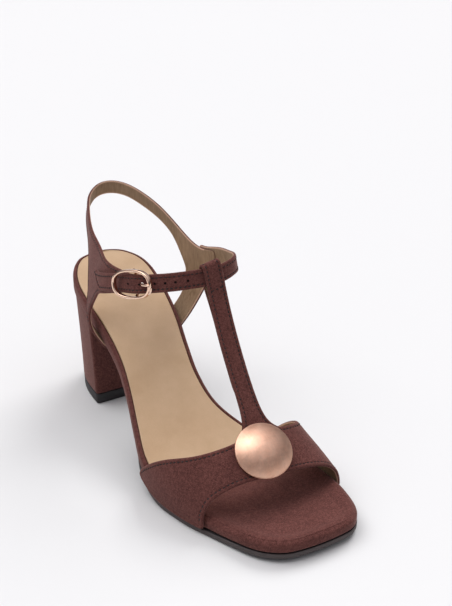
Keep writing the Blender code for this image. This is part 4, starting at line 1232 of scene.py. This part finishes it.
def lay_stitches(name, rows, surface):
    """Stitches along rows of points, laid onto a surface."""
    points = []
    faces = []
    for row in rows:
        row = np.array(row)
        steps = np.r_[0.0, np.cumsum(np.linalg.norm(np.diff(row, axis=0), axis=1))]
        count = int(steps[-1] / (STITCH_LENGTH + STITCH_GAP))
        pitch = steps[-1] / max(count, 1)

        def walk_to(distance):
            reach = min(max(distance, 0), steps[-1])
            return np.array([np.interp(reach, steps, row[:, c]) for c in range(3)])

        for k in range(count):
            rings = []
            for share, size, rise in STITCH:
                walk = min(k * pitch + STITCH_GAP / 2 + share * STITCH_LENGTH, steps[-1])
                near, normal = surface.find_nearest(Vector(walk_to(walk)))[:2]
                normal = np.array(normal)
                side = unit(np.cross(normal, unit(walk_to(walk + 0.2) - walk_to(walk - 0.2))))
                centre = np.array(near) + normal * rise
                radius = STITCH_RADIUS * size
                rings.append(add_ring(points, centre, side * STITCH_WIDTH, normal, radius, STITCH_SIDES))
            faces += tube_faces(rings)
    new_piece(name, points, faces, (THREAD,), sharp=180)


# Sole

def stack_loops(name, loops, caps, looks, tips, columns, node, cap_looks=(0, 0)):
    """Solid from equal closed loops, bottom to top, both ends filled by strips that are closer at the edge.

    caps: height of each end at x, y and a share across from -1 to 1, or None for a straight line across.
    """
    points = [p for loop in loops for p in loop]
    n = len(loops[0])
    faces = ring_faces([range(k * n, (k + 1) * n) for k in range(len(loops))])
    face_looks = [0] * len(faces)
    heel_tip, toe_tip = tips
    pairs = (n - int(heel_tip) - int(toe_tip)) // 2
    for level, height, cap_look in ((0, caps[0], cap_looks[0]), (len(loops) - 1, caps[1], cap_looks[1])):
        loop = loops[level]
        base = level * n
        rows = []
        for i in range(pairs):
            a = i + int(heel_tip)
            b = n - 1 - i
            row = [base + a]
            straight_end = (i == 0 and not heel_tip) or (i == pairs - 1 and not toe_tip)
            for c in range(1, 1 if straight_end else columns):
                s = (1 - math.cos(math.pi * c / columns)) / 2
                p = loop[a] * (1 - s) + loop[b] * s
                row.append(len(points))
                points.append(np.array([p[0], p[1], height(p[0], p[1], 2 * s - 1) if height else p[2]]))
            row.append(base + b)
            rows.append(row)
        start = len(faces)
        for first, second in zip(rows, rows[1:]):
            if len(first) == len(second):
                faces += grid_faces((first, second))
            else:
                faces.append((*first, *second[::-1]))
        if heel_tip:
            faces.extend((base, rows[0][c + 1], rows[0][c]) for c in range(columns))
        if toe_tip:
            tip = base + pairs + int(heel_tip)
            faces.extend((tip, rows[-1][c], rows[-1][c + 1]) for c in range(columns))
        face_looks += [cap_look] * (len(faces) - start)
    new_piece(name, points, faces, looks, (node,), face_looks)


def edge_loops(loop, rows, height):
    """Loops of a rounded edge: rows of inset and of rise over a height."""
    return [lift(inset_loop(loop, inset), lambda at, up=up: height(at) + up) for inset, up in rows]


def edge_tree():
    loop = footbed_loop()
    middles = (loop + np.roll(loop, -1, axis=0)) / 2
    return near_tree([(p[0], p[1], 0) for p in [*loop, *middles]])


EDGE_TREE = edge_tree()


def bed_surface(x, y, across):
    at = at_of(y)
    distance = EDGE_TREE.find((x, y, 0))[2]
    pad = ease(at, *PAD) * (PAD_HEIGHT * math.exp(-((distance - PAD_AT) / PAD_WIDTH) ** 2))
    return footbed_top(at) - recess_at(at) - CUP_DEPTH * (1 - across**2) + pad


def make_footbed():
    loop = footbed_loop()
    toe = np.array([ease(at_of(p[1]), *PAD) for p in loop])
    loops = edge_loops(loop, BED_SIDE, footbed_under)
    for rim, rolled in zip(BED_RIM, BED_TOE):
        inset, drop = (a + (b - a) * toe for a, b in zip(rim, rolled))
        moved = inset_loop(loop, inset)
        loops.append(np.array([[*p, footbed_top(at_of(p[1])) + d] for p, d in zip(moved, drop)]))
    well = inset_loop(loop, RIM_WIDTH)
    loops.append(np.array([[*p, bed_surface(*p, 1.0) - 0.02] for p in well]))
    stack_loops(
        "footbed_suede", loops, (None, bed_surface), (SUEDE,), (True, True), BED_COLUMNS, "footbed"
    )


def sock_crease(y, x, across):
    height = 0.0
    for at, side, slant, width, depth in SOCK_CREASES:
        off_line = (y - y_of(at)) - slant * x
        height -= depth * math.exp(-(off_line / width) ** 2) * math.exp(-((across - side) / 0.6) ** 2)
    return height


def make_sock():
    fore = y_of(SOCK_END - 0.01)
    shrunk = inset_loop(footbed_loop(), RIM_WIDTH + GAP)
    count = sum(p[1] > fore for p in LATERAL)
    loop = np.array([shrunk[0], *shrunk[1:count + 1], *shrunk[len(shrunk) - count:]])

    def under(x, y, across):
        return bed_surface(x, y, across) + GAP

    def over(x, y, across):
        return under(x, y, across) + SOCK_THICKNESS + sock_crease(y, x, across)

    loops = []
    for inset, share in SOCK_EDGE:
        moved = inset_loop(loop, inset)
        loops.append(np.array([[*p, under(*p, 1.0) + SOCK_THICKNESS * share] for p in moved]))
    stack_loops(
        "sock_leather", loops, (under, over), (SOCK,), (True, False), BED_COLUMNS, "sock"
    )


def make_outsole():
    full = footbed_loop()
    grown = inset_loop(full, np.array([-edge_at(at_of(p[1])) for p in full]))
    total = len(full)
    start = y_of(BREAST_AT) - GAP
    keep = [i for i in range(1, total // 2) if full[i][1] < start - 0.5]
    lateral = [grown[i] for i in keep]
    medial = [grown[total - i] for i in keep]
    for side in (lateral, medial):
        side.insert(0, np.array([side[0][0], start]))
    loop = closed_loop(lateral, medial, None, grown[total // 2])
    thick = smooth([0.52, 0.66], [OUTSOLE_WAIST, OUTSOLE_THICKNESS])

    def top(at):
        return footbed_under(at) - GAP

    def bottom(at):
        return top(at) - thick(at)

    def tread(x, y, across):
        at = at_of(y)
        field = ease(at, *TREAD_FROM) * (1 - ease(at, *TREAD_TO)) * (1 - ease(abs(across), *TREAD_SIDE))
        wave = 0.5 - 0.5 * math.cos(2 * math.pi * (y + TREAD_SLANT * x) / TREAD_PITCH)
        return bottom(at) + TREAD_DEPTH * field * ease(wave, 0.55, 0.8)

    def over(x, y, across):
        return top(at_of(y))

    loops = edge_loops(loop, SOLE_LOW, bottom) + edge_loops(loop, SOLE_HIGH, top)
    # The side faces take the lighter rubber with painted light; both caps take the plain rubber
    stack_loops(
        "outsole_rubber", loops, (tread, over), (SOLE_SIDE_PAINTED_LIGHT, RUBBER), (False, True), SOLE_COLUMNS,
        "outsole", (1, 1)
    )


def make_heel():
    base = TOP_PIECE_HEIGHT + GAP
    seat = footbed_under(0.0) - GAP

    def under_seat(x, y, across):
        return footbed_under(at_of(y)) - GAP

    loops = []
    for share, inset in HEEL_SIDE:
        loop = inset_loop(heel_level((base + share * (seat - base)) / seat), inset)
        top = np.array([under_seat(*p, 0.0) for p in loop])
        loops.append(np.column_stack([loop, base + share * (top - base)]))
    stack_loops(
        "heel_suede", loops, (None, under_seat), (SUEDE,), (True, False), HEEL_COLUMNS, "heel_block"
    )
    loops = []
    for inset, z in TIP_EDGE:
        loop = inset_loop(heel_level(z / seat), inset)
        loops.append(np.column_stack([loop, np.full(len(loop), z)]))
    stack_loops(
        "heel_tip_rubber", loops, (None, None), (RUBBER,), (True, False), HEEL_COLUMNS,
        "heel_top_piece"
    )


# Upper

def make_vamp():
    points = []
    rows = []
    for share in VAMP_ROWS:
        rows.append([
            foot_form(around, back_at(around) + (front_at(around) - back_at(around)) * share)
            for around in VAMP_STEPS
        ])
    vamp = add_rows(points, rows)
    faces = grid_faces(vamp)
    root = vamp[0][VAMP_STEPS.index(ROOT_FROM):VAMP_STEPS.index(ROOT_TO) + 1]
    front, rest = tongue_rows([points[i] for i in root])
    tongue = [root, *add_rows(points, front + rest)]
    faces += [tuple(reversed(f)) for f in grid_faces(tongue)]
    faces = [tuple(reversed(f)) for f in faces]
    thickness = np.full(len(points), LEATHER)
    for k, row in enumerate(tongue[1:]):
        thickness[row] = max(TONGUE_LEATHER, LEATHER - 0.1 * (k + 1))

    def keep(p, thick):
        return p[2] > footbed_under(at_of(p[1])) + VAMP_SEAM_END

    line = np.array(front[-4]) * 0.15 + np.array(front[-3]) * 0.85
    crease = (tuple((line[0] + line[-1]) / 2), tuple(line[-1] - line[0]), *LOOP_SEAM)
    _, surface, seams = make_leather(
        "vamp_leather", points, faces, thickness, "vamp_t_strap", keep,
        lambda thick: 2 if thick > 1.6 else 0, (*VAMP_FOLDS, crease)
    )
    cross = [line[0] + (line[-1] - line[0]) * s for s in np.linspace(*LOOP_STITCHES, 12)]
    lay_stitches("vamp_stitches", [*seams, cross], surface)


def make_quarter():
    points = []
    step = 0.5
    along = stations(QUARTER_FROM, QUARTER_TO, step)
    shares = (0.0, 0.22, 0.395, 0.605, 0.78, 1.0)
    band = add_rows(points, [
        [ring_band(s, share, tab_out(s) + 0.75 * ease(s, 18.0, 19.0)) for share in shares] for s in along
    ])
    bar = buckle_frame_axes()
    reach = BAR_DIAMETER / 2 + 0.2 + TAB_LEATHER / 2
    spine = []
    for degrees in TAB_TURN:
        angle = math.radians(degrees)
        spine.append(
            bar["centre"] + bar["run"] * math.cos(angle) * reach + bar["out"] * math.sin(angle) * reach
        )
    for run, sink in zip(*TAB_TAIL.values()):
        spine.append(
            bar["centre"] + bar["run"] * run * STRAP_WIDTH - bar["out"] * (reach + sink * STRAP_LEATHER)
        )
    tail = add_rows(points, [[p + bar["up"] * (share - 0.5) * TAB_WIDTH for share in shares] for p in spine])
    grid = [*tail[::-1], *band]
    slot = {(r, 2) for r in range(len(tail) - len(TAB_TURN) - 1, len(tail))}
    faces = grid_faces(grid, slot)
    for (low, high), shifts, foot, side in (
        (LATERAL_LEG, LATERAL_LEG_ROWS, LATERAL_FOOT, -1),
        (MEDIAL_LEG, MEDIAL_LEG_ROWS, MEDIAL_FOOT, 1),
    ):
        first, last = (int(round((s - QUARTER_FROM) / step)) + len(tail) for s in (low, high))
        edge = [grid[r][0] for r in range(first, last + 1)]
        rows = leg_rows([points[i] for i in edge], shifts, foot, side)
        faces += grid_faces([edge, *add_rows(points, rows)])
    thickness = np.full(len(points), QUARTER_LEATHER)
    for row in tail:
        thickness[row] = TAB_LEATHER
    for r, s in enumerate(along):
        if s < 2.0:
            thickness[band[r]] = TAB_LEATHER + (QUARTER_LEATHER - TAB_LEATHER) * s / 2.0
        if s > 18.0:
            thickness[band[r]] = QUARTER_LEATHER * (1 - 0.75 * (s - 18.0))

    def keep(p, thick):
        return thick > 1.25 and p[2] > footbed_under(at_of(p[1])) + LEG_SEAM_END

    _, surface, seams = make_leather(
        "quarter_leather", points, faces, thickness, "quarter_back_strap", keep,
        lambda thick: 2 if thick > 1.4 else 1
    )
    lay_stitches("quarter_stitches", seams, surface)


def make_strap():
    points = []
    along = stations(STRAP_FROM, STRAP_TO, 0.33)
    rows = []
    for k, s in enumerate(along):
        near = max(0.0, 1 - (len(along) - 1 - k) / 3)
        rows.append([])
        for a in (-0.5, -0.25, 0.0, 0.25, 0.5):
            station = s + TIP_SLANT * (a + 0.15) * near
            rows[-1].append(strap_point(station, a, strap_out(station)))
    faces = grid_faces(add_rows(points, rows))
    piece, surface, seams = make_leather(
        "strap_leather", points, faces, np.full(len(points), STRAP_LEATHER), "ankle_strap",
        lambda p, thick: True, lambda thick: 2
    )
    lay_stitches("strap_stitches", seams, surface)
    axes = buckle_frame_axes()
    points, faces = [], []
    hole = prong_point(axes, PRONG_HOLE)
    lean = unit(axes["out"] * PRONG_HOLE_LEAN - axes["run"]) * PRONG_HOLE_REACH
    add_bar(points, faces, [hole - lean, hole + lean], [PRONG_HOLE_RADIUS] * 2, axes["up"], 16)
    for station in HOLES:
        middle, _, out, up = ring_frame(station)
        centre = middle + out * strap_out(station)
        path = [centre - out * HOLE_DEPTH, centre + out * HOLE_REACH]
        add_bar(points, faces, path, [HOLE_RADIUS] * 2, up, 16)
    cutter = new_object("strap_holes", new_mesh("strap_holes", points, faces))
    # The hole walls take the cutter's near-black look, painted shade in the holes
    cutter.data.materials.append(HOLE_PAINTED_SHADE)
    step = piece.modifiers.new("holes", "BOOLEAN")
    step.operation = "DIFFERENCE"
    step.solver = "EXACT"
    step.use_self = True
    step.material_mode = "TRANSFER"
    step.object = cutter
    made = bpy.data.meshes.new_from_object(piece.evaluated_get(bpy.context.evaluated_depsgraph_get()))
    piece.modifiers.clear()
    piece.data = made
    bpy.data.objects.remove(cutter, do_unlink=True)


def make_buckle():
    axes = buckle_frame_axes()
    centre = axes["centre"] + axes["out"] * FRAME_LIFT
    half = (FRAME_LENGTH / 2 - FRAME_RAIL / 2, FRAME_HEIGHT / 2 - FRAME_RAIL / 2)
    steps, sides = 96, 20
    section = []
    for j in range(sides):
        turn = 2 * math.pi * (j + 0.5) / sides
        section.append([0.5 * signed_power(v, 0.6) for v in (math.cos(turn), math.sin(turn))])
    points = []
    for k in range(steps):
        angle = 2 * math.pi * k / steps
        turn = (math.cos(angle), math.sin(angle))
        place = [signed_power(v, 2 / FRAME_POWER) * h for v, h in zip(turn, half)]
        normal = [signed_power(v, 2 - 2 / FRAME_POWER) / h for v, h in zip(turn, half)]
        length = math.hypot(*normal)
        bow = 0.5 * (place[0] / half[0]) ** 2 + place[0] * FRAME_SLOPE
        for a, b in section:
            px, py = (p + n / length * a * FRAME_RAIL for p, n in zip(place, normal))
            points.append(centre + axes["run"] * px + axes["up"] * py + axes["out"] * (b * FRAME_DEPTH + bow))
    rings = [range(k * sides, (k + 1) * sides) for k in range(steps)]
    faces = ring_faces([*rings, rings[0]])
    new_piece("buckle_ring", points, faces, (METAL,), ("buckle_frame",))
    reach = half[1] + 0.2
    line = [(-reach + u, o) for u, o in BAR_BEND] + [(reach - u, o) for u, o in BAR_BEND[::-1]]
    path = [axes["centre"] + axes["up"] * u + axes["out"] * o for u, o in line]
    points, faces = [], []
    add_bar(points, faces, path, [BAR_DIAMETER / 2] * len(path), axes["run"], 20)
    new_piece("buckle_bar", points, faces, (METAL,))
    rows = [prong_point(axes, row) for row in PRONG]
    rows = [rows[0], *rows, rows[-1]]
    path = [spline_point(*rows[i:i + 4], k / 4) for i in range(len(rows) - 3) for k in range(4)]
    path.append(rows[-1])
    radius = [PRONG_DIAMETER / 2] * len(path)
    for place, share in ((-1, 0.35), (-2, 0.8), (-3, 0.95)):
        radius[place] *= share
    points, faces = [], []
    add_bar(points, faces, path, radius, axes["up"], 16)
    new_piece("buckle_pin", points, faces, (METAL,), ("buckle_prong",))


def make_button():
    half = BUTTON_DIAMETER / 2 / LENGTH
    behind = foot_form(BUTTON_AROUND, BUTTON_AT - half)
    ahead = foot_form(BUTTON_AROUND, BUTTON_AT + half)
    tilt = math.atan2(behind[2] - ahead[2], behind[1] - ahead[1]) + math.radians(BUTTON_LEAN)
    roll = math.radians(BUTTON_ROLL)
    normal = unit([math.sin(roll), -math.sin(tilt) * math.cos(roll), math.cos(tilt) * math.cos(roll)])
    side = unit(np.cross([0.0, 1.0, 0.0], normal))
    side = side if side[0] > 0 else -side
    ahead = np.cross(normal, side)
    radius = BUTTON_DIAMETER / 2
    profile = [(radius * share, height) for share, height in BUTTON_UNDER]
    edge, low = BUTTON_UNDER[-1]
    under = smooth([r for r, _ in profile] + [radius], [h for _, h in profile] + [low + BUTTON_RIM * 0.5])
    seat = foot_form(BUTTON_AROUND, BUTTON_AT)
    base = seat + normal * button_seat(normal, seat, under)
    for degrees in range(-75, 90, 15):
        angle = math.radians(degrees)
        profile.append((
            radius * (edge + (1 - edge) * math.cos(angle)), low + BUTTON_RIM * (0.5 + 0.5 * math.sin(angle))
        ))
    for k in range(1, 30):
        share = math.cos(math.pi / 2 * k / 30)
        profile.append((radius * edge * share, low + BUTTON_RIM + BUTTON_DOME * (1 - share**2)))
    steps = 96
    points = [base, base + normal * (low + BUTTON_RIM + BUTTON_DOME)]
    rings = [add_ring(points, base + normal * h, side, ahead, r, steps) for r, h in profile]
    faces = ring_faces(rings)
    for k in range(steps):
        j = (k + 1) % steps
        faces.append((0, rings[0][j], rings[0][k]))
        faces.append((1, rings[-1][k], rings[-1][j]))
    new_piece("button_dome", points, faces, (FOIL,), ("button",), sharp=60)


# Stage

def make_floor():
    mesh = bpy.data.meshes.new("floor")
    corners = [(x * FLOOR_REACH, y * FLOOR_REACH, 0) for x, y in ((-1, -1), (1, -1), (1, 1), (-1, 1))]
    mesh.from_pydata(corners, [], [(0, 1, 2, 3)])
    mesh.materials.append(floor_look())
    floor = new_object("floor", mesh)


def make_room():
    """Soft light that grows toward the zenith, and a plain pale background."""
    world = bpy.data.worlds.new("studio")
    bpy.context.scene.world = world
    world.use_nodes = True
    tree = world.node_tree
    place = add(tree, "TexCoord").outputs["Generated"]
    height = add(tree, "SeparateXYZ", {"Vector": place}).outputs["Z"]
    room = tree.nodes["Background"]
    put(tree, room, {"Color": ramp(tree, height, SKY), "Strength": SKY_STRENGTH})
    plain = add(tree, "Background", {"Color": BACKGROUND})
    seen = add(tree, "LightPath").outputs["Is Camera Ray"]
    shown = add(tree, "MixShader", {0: seen, 1: room.outputs[0], 2: plain.outputs[0]})
    put(tree, tree.nodes["World Output"], {"Surface": shown.outputs[0]})


def make_lights():
    for name, (power, spread, azimuth, elevation, mirrored) in LIGHTS.items():
        data = bpy.data.lights.new(name, "SUN")
        data.energy = power
        data.angle = math.radians(spread)
        lamp = new_object(name, data)
        a, e = math.radians(azimuth), math.radians(elevation)
        source = Vector((math.sin(a) * math.cos(e), -math.cos(a) * math.cos(e), math.sin(e)))
        lamp.visible_glossy = mirrored
        lamp.rotation_euler = (-source).to_track_quat("-Z", "Y").to_euler()


def make_camera():
    data = bpy.data.cameras.new("camera")
    data.lens = LENS
    data.sensor_width = SENSOR
    data.sensor_fit = "AUTO"
    item = new_object("camera", data)
    item.location = Vector(CAMERA_AT) * MM
    item.rotation_euler = (Vector(CAMERA_TO) * MM - item.location).to_track_quat("-Z", "Y").to_euler()
    bpy.context.scene.camera = item


make_camera()
make_floor()
make_room()
make_lights()
make_footbed()
make_sock()
make_outsole()
make_heel()
make_vamp()
make_quarter()
make_strap()
make_buckle()
make_button()

bpy.context.scene.view_settings.view_transform = "Standard"
